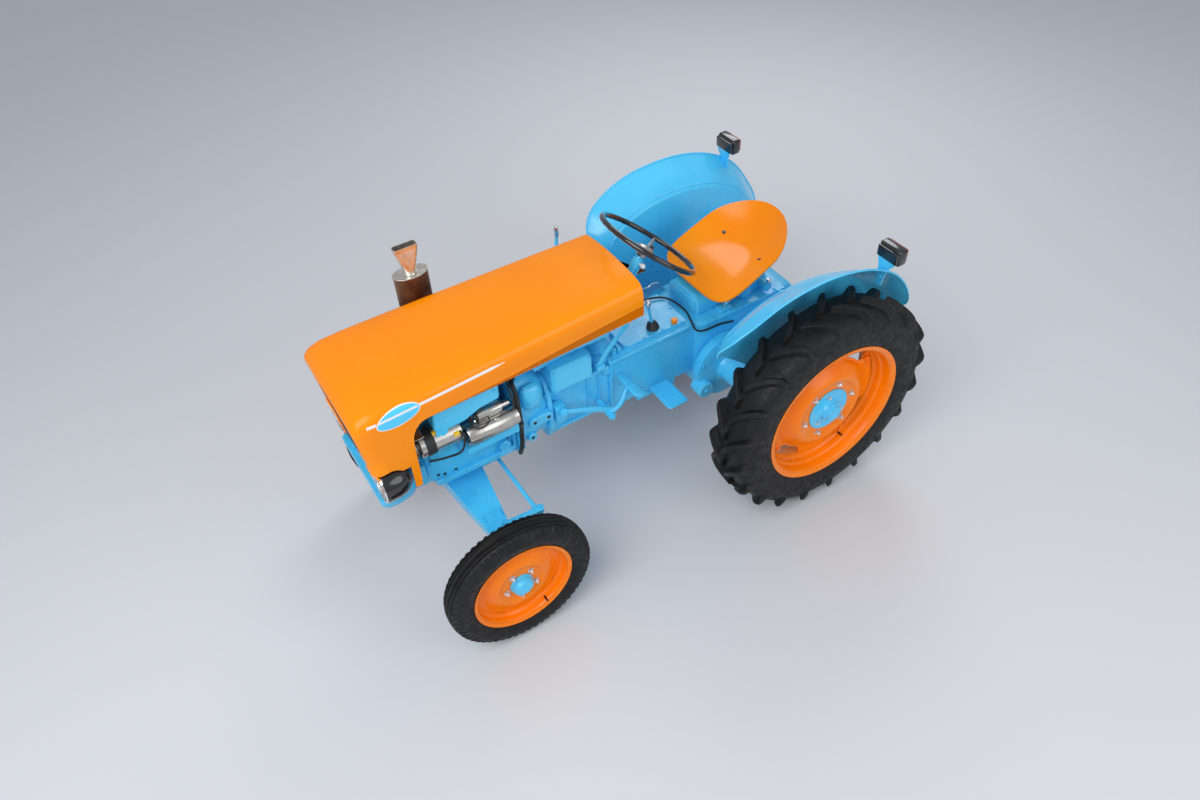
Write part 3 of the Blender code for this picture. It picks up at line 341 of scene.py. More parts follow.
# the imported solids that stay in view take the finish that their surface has
nodeFinish = {
    "blueCasting": ("engine_block", "cylinder_shroud", "bell_housing", "gearbox_housing", "rear_housing",
                    "lift_housing", "axle_casing_left", "axle_casing_right", "front_axle_beam", "front_support",
                    "knuckle_left", "knuckle_right", "centre_arm", "tow_hitch"),
    "blueEnamel": ("tie_rod_left", "tie_rod_right", "steering_column", "seat_bracket", "fender_left",
                   "fender_right", "foot_plate_left", "foot_plate_right", "clutch_pedal", "brake_pedal",
                   "side_tank", "fuel_tank"),
    "orangeEnamel": ("hood", "seat"),
    "wheelEnamel": ("rear_rim_left", "rear_rim_right", "front_rim_left", "front_rim_right"),
    "tyreRubber": ("rear_tyre_left", "rear_tyre_right", "front_tyre_left", "front_tyre_right"),
    "blackGloss": ("headlight_left", "headlight_right", "tail_lamp_left", "tail_lamp_right", "steering_wheel",
                   "grille"),
    "zincPlate": ("starter_motor", "dynamo", "gear_lever"),
    "burntSteel": ("exhaust_muffler",),
    "cableBlack": ("wiring_loom",),
}
for finishName, members in nodeFinish.items():
    for member in members:
        nodes[member].data.materials.clear()
        nodes[member].data.materials.append(paint[finishName])
print("finishes set on", sum(len(m) for m in nodeFinish.values()), "packed solids")


# ---- tyres ----
rearTyre = {"hub": rearHub, "lugs": 20, "lugSweep": 0.104, "lugTop": 0.036, "lugBase": 0.050, "sides": 144,
            "outline": ((0.092, 0.306), (0.0935, 0.318), (0.098, 0.332), (0.1040, 0.365), (0.1052, 0.396),
                        (0.1035, 0.425), (0.0965, 0.448), (0.086, 0.462), (0.068, 0.4715), (0.035, 0.4765),
                        (0.0, 0.478)),
            "ribs": ((0.3395, 0.0022, 0.0022), (0.349, 0.0012, 0.0016), (0.3985, 0.0016, 0.0030))}
frontTyre = {"hub": frontHub, "sides": 480, "notches": 60, "notchDepth": 0.0045, "grooves": (0.0105, 0.0285),
             "grooveDepth": 0.0090, "grooveHalf": 0.0034,
             "outline": ((0.041, 0.191), (0.0425, 0.203), (0.048, 0.218), (0.0545, 0.236), (0.0558, 0.248),
                         (0.0550, 0.262), (0.0520, 0.276), (0.0460, 0.287), (0.036, 0.2945), (0.020, 0.2985),
                         (0.0, 0.2998)),
             "ribs": ((0.2165, 0.0014, 0.0016), (0.2300, 0.0008, 0.0012), (0.2510, 0.0010, 0.0014))}


def tyreOutline(s, count):
    # the section's half outline as a smooth curve; fine ribs stand out of the sidewall as bell-shaped bumps
    half = smoothPath(s["outline"], count)
    for radius, height, wide in s["ribs"]:
        half[:, 0] += height * np.exp(-(((half[:, 1] - radius) / wide) ** 2)) - height * 0.3
    half[0, 0] = s["outline"][0][0]
    return half


def wheelPoints(hub, side, along, radius, angle):
    # distance along the axle from the wheel's middle, radius, and angle from straight up towards the rear
    along, radius, angle = np.broadcast_arrays(along, radius, angle)
    return np.stack((side * (hub[0] + along), hub[1] + radius * np.sin(angle), hub[2] + radius * np.cos(angle)), -1)


def makeRearTyre(side, name):
    s = rearTyre
    half = tyreOutline(s, 56)
    outline = np.concatenate((half, half[-2::-1] * (-1, 1)))
    angle = np.linspace(0, math.tau, s["sides"], endpoint=False)
    shell = Shell().rings(wheelPoints(s["hub"], side, outline[None, :, 0], outline[None, :, 1], angle[:, None]), True)

    # a lug's stations: along the axle and radius of its top and of its foot, its sweep round the tyre, its width
    t = np.linspace(0, 1, 12)
    topA = np.concatenate((0.0015 + 0.0925 * t, (0.0990, 0.1030, 0.1050)))
    topR = np.concatenate((0.5055 - 0.0016 * t - 0.0125 * t ** 4, (0.4800, 0.4620, 0.4440)))
    footA = np.concatenate((0.0015 + 0.0850 * t, (0.0915, 0.0960, 0.1005)))
    footR = np.interp(footA, half[::-1, 0], half[::-1, 1]) - 0.004
    footR[-3:] = (0.4500, 0.4420, 0.4320)
    sweep = s["lugSweep"] * np.concatenate((1.22 * t - 0.30 * t ** 2, (0.935, 0.940, 0.942)))
    topW = s["lugTop"] * np.concatenate((0.86 + 0.20 * t, (1.06, 1.02, 0.94)))
    footW = s["lugBase"] * np.concatenate((0.92 + 0.16 * t, (1.06, 1.04, 1.0)))
    slope = np.concatenate((1.25 - 0.55 * t, (0.68, 0.66, 0.66)))      # a bar that runs askew is wider round the tyre
    share = np.array((-1.0, -0.62, -0.52, -0.40, 0.40, 0.52, 0.62, 1.0)) / 2
    level = np.array((0.0, 0.55, 0.93, 1.0, 1.0, 0.93, 0.55, 0.0))
    width = footW[:, None] + (topW / 0.62 - footW)[:, None] * level * 0.5
    along = footA[:, None] + (topA - footA)[:, None] * level
    radius = footR[:, None] + (topR - footR)[:, None] * level
    offset = (sweep[:, None] + share * width * slope[:, None] * 1.12) / 0.49
    pitch = math.tau / s["lugs"]
    for way, turn in ((1, 0.0), (-1, 0.5)):
        for k in range(s["lugs"]):
            shell.rings(wheelPoints(s["hub"], side, way * along, radius, offset + (k + turn) * pitch))
    shell.make("lugged_tyre_" + name, paint["tyreRubber"], "rear_wheel_" + name, "tyre_rubber", 32,
               ("rear_tyre_" + name,))


def makeFrontTyre(side, name):
    s = frontTyre
    half = tyreOutline(s, 44)
    outline = np.concatenate((half, half[-2::-1] * (-1, 1)))
    across, radius = outline[None, :, 0], outline[None, :, 1]
    angle = np.linspace(0, math.tau, s["sides"], endpoint=False)[:, None]
    # grooves run round the crown; notches cut the shoulder in a square wave of the angle
    away = np.min([np.abs(np.abs(across) - g) for g in s["grooves"]], axis=0)
    groove = s["grooveDepth"] / (1 + np.exp((away - s["grooveHalf"]) / 0.0005)) * (radius > 0.27)
    wave = 1 / (1 + np.exp(-9 * np.sin(s["notches"] * angle + 2.6 * np.sign(across))))
    shoulder = np.exp(-(((np.abs(across) - 0.0455) / 0.0075) ** 2)) * (radius > 0.262)
    deep = radius - groove - s["notchDepth"] * wave * shoulder
    inward = across - np.sign(across) * 0.6 * s["notchDepth"] * wave * shoulder
    shell = Shell().rings(wheelPoints(s["hub"], side, inward, deep, angle), True)
    shell.make("ribbed_tyre_" + name, paint["tyreRubber"], "front_wheel_" + name, "tyre_rubber", 32,
               ("front_tyre_" + name,))


# ---- wheels: rolled rim, pressed disc, hub and nuts ----
rearRim = {"hub": rearHub, "body": "rear_wheel_", "sides": 120,
           "rim": ((0.0965, 0.3195), (0.0985, 0.3250), (0.0975, 0.3278), (0.0945, 0.3278), (0.0926, 0.3240),
                   (0.0922, 0.3100), (0.0905, 0.3057), (-0.0905, 0.3057), (-0.0922, 0.3100), (-0.0926, 0.3240),
                   (-0.0945, 0.3278), (-0.0975, 0.3278), (-0.0985, 0.3250), (-0.0965, 0.3195), (-0.0940, 0.3060),
                   (-0.0880, 0.3000), (-0.0640, 0.2975), (-0.0560, 0.2900), (-0.0420, 0.2885), (-0.0340, 0.2760),
                   (0.0060, 0.2755), (0.0140, 0.2780), (0.0230, 0.2875), (0.0420, 0.2890), (0.0480, 0.2915),
                   (0.0530, 0.2975), (0.0840, 0.3010), (0.0905, 0.3040), (0.0945, 0.3110)),
           "disc": ((0.050, 0.0540), (0.118, 0.0540), (0.131, 0.0550), (0.141, 0.0610), (0.152, 0.0650),
                    (0.164, 0.0625), (0.180, 0.0520), (0.205, 0.0330), (0.224, 0.0215), (0.236, 0.0175),
                    (0.250, 0.0165), (0.266, 0.0165)),
           "wall": 0.0055, "windows": 4, "windowTurn": 38.0, "windowDepth": 0.042, "windowShare": 0.36,
           "tabs": 8, "nuts": 6, "nutCircle": 0.124, "nutX": 0.0545, "nutRadius": 0.0105,
           "hubProfile": ((0.050, 0.050), (0.055, 0.0985), (0.0595, 0.0985), (0.0615, 0.0960), (0.0625, 0.0920),
                          (0.0605, 0.0880), (0.0610, 0.0620), (0.0640, 0.0520), (0.0710, 0.0470), (0.0780, 0.0450),
                          (0.0830, 0.0440), (0.0845, 0.0370), (0.0860, 0.0350), (0.0950, 0.0335), (0.0968, 0.0305),
                          (0.0965, 0.0200), (0.0945, 0.0180), (0.0945, 0.0100)),
           "back": ((-0.165, 0.060), (-0.160, 0.066), (-0.060, 0.066), (0.010, 0.072), (0.048, 0.092),
                    (0.051, 0.092))}
frontRim = {"hub": frontHub, "body": "front_wheel_", "sides": 96,
            "rim": ((0.0445, 0.2010), (0.0465, 0.2045), (0.0455, 0.2068), (0.0430, 0.2066), (0.0414, 0.2030),
                    (0.0412, 0.1940), (0.0400, 0.1907), (-0.0400, 0.1907), (-0.0412, 0.1940), (-0.0414, 0.2030),
                    (-0.0430, 0.2066), (-0.0455, 0.2068), (-0.0465, 0.2045), (-0.0445, 0.2010), (-0.0430, 0.1915),
                    (-0.0390, 0.1870), (-0.0270, 0.1850), (-0.0200, 0.1730), (0.0020, 0.1725), (0.0090, 0.1760),
                    (0.0160, 0.1840), (0.0270, 0.1860), (0.0370, 0.1880), (0.0425, 0.1930)),
            "disc": ((0.028, 0.0200), (0.074, 0.0200), (0.082, 0.0205), (0.089, 0.0245), (0.098, 0.0280),
                     (0.108, 0.0262), (0.125, 0.0190), (0.145, 0.0090), (0.156, 0.0050), (0.165, 0.0040),
                     (0.1735, 0.0040)),
            "wall": 0.0045, "windows": 4, "windowTurn": 35.0, "windowDepth": 0.009, "windowShare": 0.16,
            "tabs": 0, "nuts": 5, "nutCircle": 0.0655, "nutX": 0.0202, "nutRadius": 0.0092,
            "hubProfile": ((0.014, 0.030), (0.0195, 0.0470), (0.0255, 0.0470), (0.0270, 0.0445), (0.0340, 0.0425),
                           (0.0350, 0.0405), (0.0362, 0.0425), (0.0440, 0.0400), (0.0450, 0.0370), (0.0500, 0.0345),
                           (0.0522, 0.0300), (0.0525, 0.0120)),
            "back": ((-0.045, 0.034), (-0.043, 0.040), (0.000, 0.042), (0.012, 0.055), (0.0165, 0.056))}


def makeRim(side, name, s, replaced):
    hub, body = s["hub"], s["body"] + name
    angle = np.linspace(0, math.tau, s["sides"] * 2, endpoint=False)
    ring = np.array(s["rim"])
    shell = Shell().rings(wheelPoints(hub, side, ring[None, :, 0], ring[None, :, 1], angle[::2, None]), True)
    # the disc's section is stretched out to an edge that drops back over each window
    disc = smoothPath(s["disc"], 44)
    open_ = np.cos(s["windows"] * (angle - math.radians(s["windowTurn"])))
    drop = s["windowDepth"] / (1 + np.exp(-(open_ - math.cos(math.pi * s["windowShare"])) * 14))
    edge, root = disc[-1, 0], disc[0, 0]
    share = np.clip((disc[:, 0] - 0.78 * edge) / (0.22 * edge), 0, 1)
    radius = disc[None, :, 0] - drop[:, None] * share
    front = np.broadcast_to(disc[None, :, 1], radius.shape)
    along = np.concatenate((front, front[:, ::-1] - s["wall"]), 1)
    radius = np.concatenate((radius, radius[:, ::-1]), 1)
    shell.rings(wheelPoints(hub, side, along, radius, angle[:, None]), True)
    # tabs welded in the well, each carrying the disc's edge on a bolt
    if s["tabs"]:
        turns = math.radians(s["windowTurn"]) + np.arange(s["tabs"]) * math.tau / s["tabs"]
        spread = math.pi / s["windows"] * 0.43 * np.where(np.arange(s["tabs"]) % 2 == 0, 1, -1)
        turns = turns + np.where(np.arange(s["tabs"]) % 2 == 0, spread, spread)
        for turn in turns:
            a = turn + np.array((-0.075, -0.060, 0.060, 0.075))
            outline = wheelPoints(hub, side, 0.0, np.array((0.2795, 0.250, 0.250, 0.2795)), a)
            steps = np.array((-0.004, 0.0, 0.0085, 0.0105))
            inset = np.array((0.004, 0.0, 0.0, 0.003))
            middle = outline.mean(0)
            rings = middle + (outline - middle) * (1 - inset[:, None, None] / 0.03)
            rings[..., 0] += side * steps[:, None]
            shell.rings(rings)
    shell.make("pressed_rim_" + name + ("_rear" if s is rearRim else "_front"), paint["wheelEnamel"], body,
               "wheel_paint", 38, (replaced,))
    centre = np.array((side * hub[0], hub[1], hub[2]))
    cap = Shell().turned(s["hubProfile"], (side, 0, 0), centre, 64)
    cap.turned(s["back"], (side, 0, 0), centre, 48)
    cap.make("wheel_hub_" + name + ("_rear" if s is rearRim else "_front"), paint["blueEnamel"], body,
             "blue_paint", 30)
    nutPlaces = circlePlaces(centre + (side * s["nutX"], 0, 0), s["nutCircle"], (1, 0, 0), s["nuts"], 12)
    nuts = Shell().bolts(nutPlaces, (side, 0, 0), s["nutRadius"], 0.0105)
    for place in nutPlaces:
        nuts.turned(((0.006, 0.0052), (0.0165, 0.0052), (0.0178, 0.0040)), (side, 0, 0), place, 12)
    if s is rearRim:
        nuts.bolts(circlePlaces(centre + (side * 0.0608, 0, 0), 0.072, (1, 0, 0), 3, 40), (side, 0, 0), 0.0085, 0.0095)
    nuts.make("wheel_nuts_" + name + ("_rear" if s is rearRim else "_front"), paint["brightChrome"], body,
              "bright_chrome", 30)
    if s["tabs"]:
        edgeBolts = Shell()
        for turn in turns:
            edgeBolts.bolts(wheelPoints(hub, side, 0.0175, 0.2575, turn), (side, 0, 0), 0.0095, 0.008)
        edgeBolts.make("rim_bolts_" + name, paint["wheelEnamel"], body, "wheel_paint", 30)
    # the air valve stands in the well
    valve = wheelPoints(hub, side, np.array((0.018, 0.036, 0.046)), np.array((0.283, 0.281, 0.280)) * edge / 0.266,
                        math.radians(152))
    Shell().tube(valve, (0.0042, 0.0038, 0.0030), 10).make(
        "air_valve_" + name + ("_rear" if s is rearRim else "_front"), paint["cableBlack"], body, "cable_rubber")


for side, name in ((1, "left"), (-1, "right")):
    makeRearTyre(side, name)
    makeFrontTyre(side, name)
    makeRim(side, name, rearRim, "rear_rim_" + name)
    makeRim(side, name, frontRim, "front_rim_" + name)
print("tyres and wheels built")


# ---- hood and nose: one shell, its section carried from the dash to the lip ----
hoodShape = {
    # y, half width, crown height
    "stations": ((-0.640, 0.2120, 1.1870), (-0.900, 0.2240, 1.1790), (-1.200, 0.2360, 1.1700), (-1.500, 0.2450, 1.1610),
                 (-1.640, 0.2475, 1.1570), (-1.720, 0.2480, 1.1500), (-1.762, 0.2450, 1.1350), (-1.782, 0.2380, 1.1160),
                 (-1.7895, 0.2320, 1.1000)),
    # y and height of the side's lower edge, which turns down into the nose
    "edge": ((-0.640, 1.0830), (-0.900, 1.0700), (-1.200, 1.0500), (-1.430, 1.0400), (-1.540, 1.0360), (-1.575, 1.0180),
             (-1.595, 0.9850), (-1.6015, 0.9450), (-1.6035, 0.8800), (-1.6050, 0.7420)),
    # share of the half width and of the height above the squared part, from the side to the crown's crease
    "section": ((1.0, 0.0), (1.0, 0.24), (0.999, 0.45), (0.988, 0.62), (0.958, 0.76), (0.905, 0.855), (0.83, 0.905),
                (0.60, 0.957), (0.30, 0.988), (0.0, 1.0)),
    "squareZ": 1.036, "wall": 0.0045, "lipZ": 1.100, "rake": 0.14, "rakeFrom": -1.690, "foot": 0.742,
    "mouthX": 0.168, "mouthLow": 0.852, "mouthHigh": 1.072, "lampX": 0.205, "lampZ": 0.792, "lampR": 0.0745, "arch": (-1.722, 0.792), "archR": 0.086}


def hoodAt(y):
    s = np.array(hoodShape["stations"])
    order = np.argsort(s[:, 0])
    knots = s[order]
    return np.interp(y, knots[:, 0], knots[:, 1]), np.interp(y, knots[:, 0], knots[:, 2])


def hoodRings(inset, drop, ys, low):
    # the half section is mirrored about the crown; the front stations lean back below the lip
    s = hoodShape
    half, crown = hoodAt(ys)
    section = smoothPath(s["section"], 40)
    section = np.clip(section, 0, 1)
    sideSteps = np.linspace(0, 1, 14)[:-1]
    rings = []
    for y, h, c, z0 in zip(ys, half - inset, crown - inset, low - drop):
        zSide = z0 + (s["squareZ"] - z0) * sideSteps
        x = np.concatenate((np.full(13, h), section[:, 0] * h))
        z = np.concatenate((zSide, s["squareZ"] + (c - s["squareZ"]) * section[:, 1]))
        x, z = np.concatenate((x, -x[-2::-1])), np.concatenate((z, z[-2::-1]))
        lean = np.clip((s["rakeFrom"] - y) / (s["rakeFrom"] + 1.7895), 0, 1)
        back = s["rake"] * np.maximum(s["lipZ"] - z, 0) * lean
        # the front corner swells outwards over each lamp like a brow
        brow = 0.010 * np.exp(-(((z - 0.872) / 0.030) ** 2)) * np.exp(-(((y + 1.752) / 0.045) ** 2))
        x = x + np.sign(x) * brow * (np.abs(x) > 0.2) * (inset == 0)
        rings.append(np.stack((x, y + back + inset * lean, z), -1))
    return np.array(rings)


def plainObject(name, shell):
    mesh = bpy.data.meshes.new(name)
    mesh.from_pydata(np.concatenate(shell.points).tolist(), [], shell.faces)
    work = bmesh.new()
    work.from_mesh(mesh)
    bmesh.ops.remove_doubles(work, verts=work.verts, dist=1e-6)
    bmesh.ops.recalc_face_normals(work, faces=work.faces)
    work.to_mesh(mesh)
    work.free()
    obj = bpy.data.objects.new(name, mesh)
    bpy.context.scene.collection.objects.link(obj)
    return obj


def carve(shell, cutters, joined=()):
    # cuts shells out of a shell, or joins them to it, and returns what is left as points and faces
    target = plainObject("carved", shell)
    helpers = []
    for operation, others in (("UNION", joined), ("DIFFERENCE", cutters)):
        for other in others:
            helper = plainObject("cutter", other)
            step = target.modifiers.new("cut", "BOOLEAN")
            step.operation, step.solver, step.object = operation, "EXACT", helper
            helpers.append(helper)
    bpy.context.view_layer.update()
    result = target.evaluated_get(bpy.context.evaluated_depsgraph_get()).to_mesh()
    points = np.zeros(len(result.vertices) * 3)
    result.vertices.foreach_get("co", points)
    faces = [list(polygon.vertices) for polygon in result.polygons]
    for obj in [target, *helpers]:
        bpy.data.objects.remove(obj)
    return points.reshape(-1, 3), faces


def makeHood():
    s = hoodShape
    edge = np.array(s["edge"])
    edgePath = smoothPath(edge, 60)
    ys = np.concatenate((np.linspace(-0.640, -1.42, 30), edgePath[(edgePath[:, 0] < -1.42), 0],
                         np.linspace(-1.612, -1.74, 12), (-1.750, -1.758, -1.766, -1.773, -1.779, -1.784, -1.7875, -1.7895)))
    ys = np.sort(np.unique(np.round(ys, 5)))[::-1]
    order = np.argsort(edgePath[:, 0])
    low = np.interp(ys, edgePath[order, 0], edgePath[order, 1], left=s["foot"])
    outer = Shell().rings(hoodRings(0.0, 0.0, ys, low))
    inYs = ys.copy()
    inYs[0] += 0.02
    inner = Shell().rings(hoodRings(s["wall"], 0.02, inYs, low))
    mouth = Shell().prism(roundedBox(s["mouthX"], s["mouthLow"], s["mouthHigh"], 0.045), "Y", -1.84, -1.70)
    cutters = [inner, mouth]
    for side in (1, -1):
        cutters.append(Shell().turned(((0, s["lampR"]), (0.2, s["lampR"])), (0, 1, 0),
                                      (side * s["lampX"], -1.83, s["lampZ"]), 64))
        # the side is cut away round the lamp, up to its brow
        cutters.append(Shell().turned(((0.205, s["archR"]), (0.30, s["archR"])), (side, 0, 0), (0, *s["arch"]), 64))
        # a slim slot beside the mouth leaves a pillar that runs down to the lamp
        slot = np.array(((0.183, 1.010), (0.189, 1.008), (0.186, 0.940), (0.166, 0.865), (0.150, 0.842),
                         (0.146, 0.850), (0.158, 0.872), (0.178, 0.940)))
        cutters.append(Shell().prism(slot * (side, 1), "Y", -1.84, -1.70))
    points, faces = carve(outer, cutters)
    meshPiece("tilting_hood", points, faces, paint["orangeEnamel"], "hood", 38, ("hood",), closed=False)

    trim = Shell()
    # rolled edge along the sides' lower lines, and a brow over each lamp
    for side in (1, -1):
        half, _ = hoodAt(edgePath[:, 0])
        line = np.stack((side * (half - 0.0028), edgePath[:, 0], edgePath[:, 1] + 0.0015), -1)
        trim.tube(line[line[:, 2] > 0.745], 0.0036, 8, (1, 0, 0))
        a = np.radians(np.linspace(-58, 208, 40))
        r = s["lampR"] + 0.0035
        z = s["lampZ"] + r * np.sin(a)
        x = np.minimum(s["lampX"] + r * np.cos(a), 0.2440)
        y = -1.7895 + s["rake"] * (s["lipZ"] - z) + 0.010 * np.clip((x - 0.225) / 0.02, 0, 1) - 0.001
        trim.tube(np.stack((side * x, y, z), -1), 0.0042, 8, (0, 1, 0))
    trim.make("hood_rolled_edges", paint["orangeEnamel"], "hood", "orange_paint", 40)
    lugs = Shell()
    for side in (1, -1):
        lugs.block((side * 0.116 - 0.005, -1.734, 0.706), (side * 0.116 + 0.005, -1.710, 0.793), 0.003)
    lugs.make("hood_hinge_lugs", paint["orangeEnamel"], "hood", "orange_paint", 40)


def roundedBox(half, low, high, radius, steps=8):
    a = np.radians(np.linspace(0, 90, steps))
    corner = []
    for x, z, turn in ((half - radius, high - radius, 0), (-half + radius, high - radius, 90),
                       (-half + radius, low + radius, 180), (half - radius, low + radius, 270)):
        b = a + math.radians(turn)
        corner.append(np.stack((x + radius * np.cos(b), z + radius * np.sin(b)), -1))
    return np.concatenate(corner)


stripe = {"from": -1.738, "oval": (-1.628, 1.0950), "ovalSize": (0.0800, 0.0370), "to": -1.225, "zFront": 1.1000,
          "zRear": 1.1200, "halfHeight": 0.0052, "border": 0.0042, "lift": 0.0006}


def hoodSideX(y, z):
    # how far out the hood's side stands at a height, from the same section as the shell
    s = hoodShape
    half, crown = hoodAt(y)
    section = np.clip(smoothPath(s["section"], 40), 0, 1)
    share = (z - s["squareZ"]) / (crown - s["squareZ"])
    return half * np.interp(share, section[:, 1], section[:, 0])


def makeStripe():
    s = stripe
    slope = (s["zRear"] - s["zFront"]) / (s["to"] - s["from"])

    def patch(shell, side, y, z, lift):
        # a thin closed skin over the side: the grid of (y, z) points lifted outwards, and again just inside
        x = hoodSideX(y, z)
        rows, cols = y.shape
        skin = np.stack((side * (x + lift), y, z), -1)
        inside = np.stack((side * (x - 0.001), y, z), -1)
        quads = gridQuads(rows, cols)
        back = quads[:, ::-1] + rows * cols
        index = np.arange(rows * cols).reshape(rows, cols)
        rim = np.concatenate((index[0, :], index[1:, -1], index[-1, -2::-1], index[-2:0:-1, 0]))
        follow = np.roll(rim, -1)
        walls = np.stack((rim, follow, follow + rows * cols, rim + rows * cols), -1)
        shell.add(np.concatenate((skin.reshape(-1, 3), inside.reshape(-1, 3))),
                  quads.tolist() + back.tolist() + walls.tolist())

    white, blue = Shell(), Shell()
    for side in (1, -1):
        cy, cz = s["oval"]
        for start, end in ((s["from"], cy - s["ovalSize"][0] * 0.97), (cy + s["ovalSize"][0] * 0.97, s["to"])):
            u, v = np.meshgrid(np.linspace(start, end, 40), np.linspace(-1, 1, 3), indexing="ij")
            taper = np.where(start < cy, 1.0, np.clip((s["to"] - u) / 0.05, 0.25, 1))
            patch(white, side, u, s["zFront"] + slope * (u - s["from"]) + v * s["halfHeight"] * taper, s["lift"])
        turn, r = np.meshgrid(np.linspace(0, math.tau, 65), np.linspace(0.02, 1, 9), indexing="ij")
        tilt = math.radians(7)
        for shell, grow, lift in ((white, 0.0, s["lift"]), (blue, s["border"], s["lift"] + 0.0005)):
            a = (s["ovalSize"][0] - grow) * r * np.cos(turn)
            b = (s["ovalSize"][1] - grow) * r * np.sin(turn)
            patch(shell, side, cy + a * math.cos(tilt) - b * math.sin(tilt), cz + a * math.sin(tilt) + b * math.cos(tilt), lift)
    # the stripe runs on across the oval
        u, v = np.meshgrid(np.linspace(cy - 0.070, cy + 0.070, 20), np.linspace(-1, 1, 3), indexing="ij")
        patch(white, side, u, s["zFront"] + slope * (u - s["from"]) + v * s["halfHeight"] * 0.8, s["lift"] + 0.0009)
    white.make("hood_stripe", paint["whitePaint"], "hood", "white_paint", 60)
    blue.make("hood_oval", paint["blueEnamel"], "hood", "blue_paint", 60)


def makeGrille():
    # bulged black grille: upright bars on bowed cross rails, inside a rim that follows the mouth
    s = hoodShape
    shell = Shell()
    low, high, wide = s["mouthLow"] - 0.004, s["mouthHigh"] + 0.004, s["mouthX"] + 0.004

    def bow(x, z):
        return -1.7795 + s["rake"] * (s["lipZ"] - z) - 0.0100 * (1 - (x / wide) ** 2)

    z = np.linspace(low, high, 16)
    for x in np.linspace(-wide, wide, 33):
        shell.tube(np.stack((np.full(16, x), bow(x, z), z), -1), 0.0022, 6, (1, 0, 0))
    x = np.linspace(-wide, wide, 30)
    for level in np.linspace(low, high, 6):
        shell.tube(np.stack((x, bow(x, level) + 0.0035, np.full(30, level)), -1), 0.0032, 8)
    rim = roundedBox(wide + 0.004, low - 0.004, high + 0.004, 0.045)
    path = np.stack((rim[:, 0], -1.7795 + s["rake"] * (s["lipZ"] - rim[:, 1]) + 0.004, rim[:, 1]), -1)
    shell.tube(np.concatenate((path, path[:1])), 0.0045, 8, (0, 1, 0))
    # painted shade: a dark sheet behind the bars stands in for the shade inside the mouth
    u, v = np.meshgrid(np.linspace(-wide, wide, 20), np.linspace(low, high, 10), indexing="ij")
    front = np.stack((u, bow(u, v) + 0.012, v), -1)
    rings = np.concatenate((front, front[:, ::-1] + (0, 0.002, 0)), 1)
    shell.rings(rings)
    shell.make("bulged_grille", paint["blackSatin"], "hood", "black_gloss", 40, ("grille",))


headlight = {"x": 0.205, "z": 0.792, "front": -1.7440, "radius": 0.0735,
             "bucket": ((0.002, 0.0700), (0.000, 0.0722), (0.003, 0.0735), (0.012, 0.0735), (0.050, 0.0728),
                        (0.078, 0.0660), (0.098, 0.0530), (0.111, 0.0360), (0.118, 0.0180), (0.1195, 0.0060)),
             "bowl": ((0.0035, 0.0660), (0.0200, 0.0600), (0.0420, 0.0470), (0.0560, 0.0300), (0.0620, 0.0080)),
             "glass": ((0.0060, 0.0665), (0.0030, 0.0668), (-0.0005, 0.0600), (-0.0045, 0.0400), (-0.0062, 0.0200),
                       (-0.0066, 0.0040))}


def makeHeadlights():
    s = headlight
    for side, name in ((1, "left"), (-1, "right")):
        place = (side * s["x"], s["front"], s["z"])
        outer = np.array(s["bucket"])
        bowl = np.array(s["bowl"])
        outline = np.concatenate((outer, ((0.1150, 0.0060), (0.0680, 0.0060)), bowl[::-1] + (0.0015, 0.0015)))
        Shell().lathe(outline, (0, 1, 0), place, 64).make("lamp_bucket_" + name, paint["blackGloss"], "hood",
                                                          "black_gloss", 35, ("headlight_" + name,))
        inner = np.concatenate((bowl, bowl[::-1] + (0.0012, 0.0)))
        Shell().lathe(inner, (0, 1, 0), place, 64).turned(
            ((0.030, 0.004), (0.034, 0.007), (0.045, 0.008), (0.062, 0.008)), (0, 1, 0), place, 16).make(
            "lamp_reflector_" + name, paint["brightChrome"], "hood", "bright_chrome", 40)
        ring = ((-0.001, 0.0655), (-0.0035, 0.0680), (-0.0035, 0.0715), (0.0010, 0.0735), (0.0030, 0.0715),
                (0.0020, 0.0660))
        Shell().lathe(ring, (0, 1, 0), place, 64).make("lamp_ring_" + name, paint["brightChrome"], "hood",
                                                       "bright_chrome", 40)
        glass = np.array(s["glass"])
        shell = Shell().turned(np.concatenate((((0.0060, 0.0040), (0.0058, 0.0640)), glass)), (0, 1, 0), place, 64)
        shell.make("lamp_glass_" + name, paint["lampGlass"], "hood", "lamp_glass", 40)


makeHood()
makeStripe()
makeGrille()
makeHeadlights()
print("hood, grille and headlights built")


# ---- fenders: a flat wall whose upper part rolls outwards and up to a beaded lip ----
fender = {"wallX": 0.385, "footRadius": 0.150, "bendBelowLip": 0.085, "wall": 0.0028, "bead": 0.0042,
          # angle from straight up towards the rear, lip radius, lip x
          "stations": ((-50.0, 0.600, 0.430), (-47.0, 0.652, 0.462), (-41.0, 0.668, 0.500), (-33.0, 0.662, 0.520),
                       (-22.0, 0.650, 0.525), (-10.0, 0.631, 0.525), (5.0, 0.614, 0.525), (20.0, 0.602, 0.525),
                       (35.0, 0.590, 0.525), (50.0, 0.564, 0.520), (60.0, 0.546, 0.500), (63.0, 0.520, 0.470)),
          "lamp": (0.508, 0.285, 1.100), "lampSize": (0.110, 0.055, 0.070)}


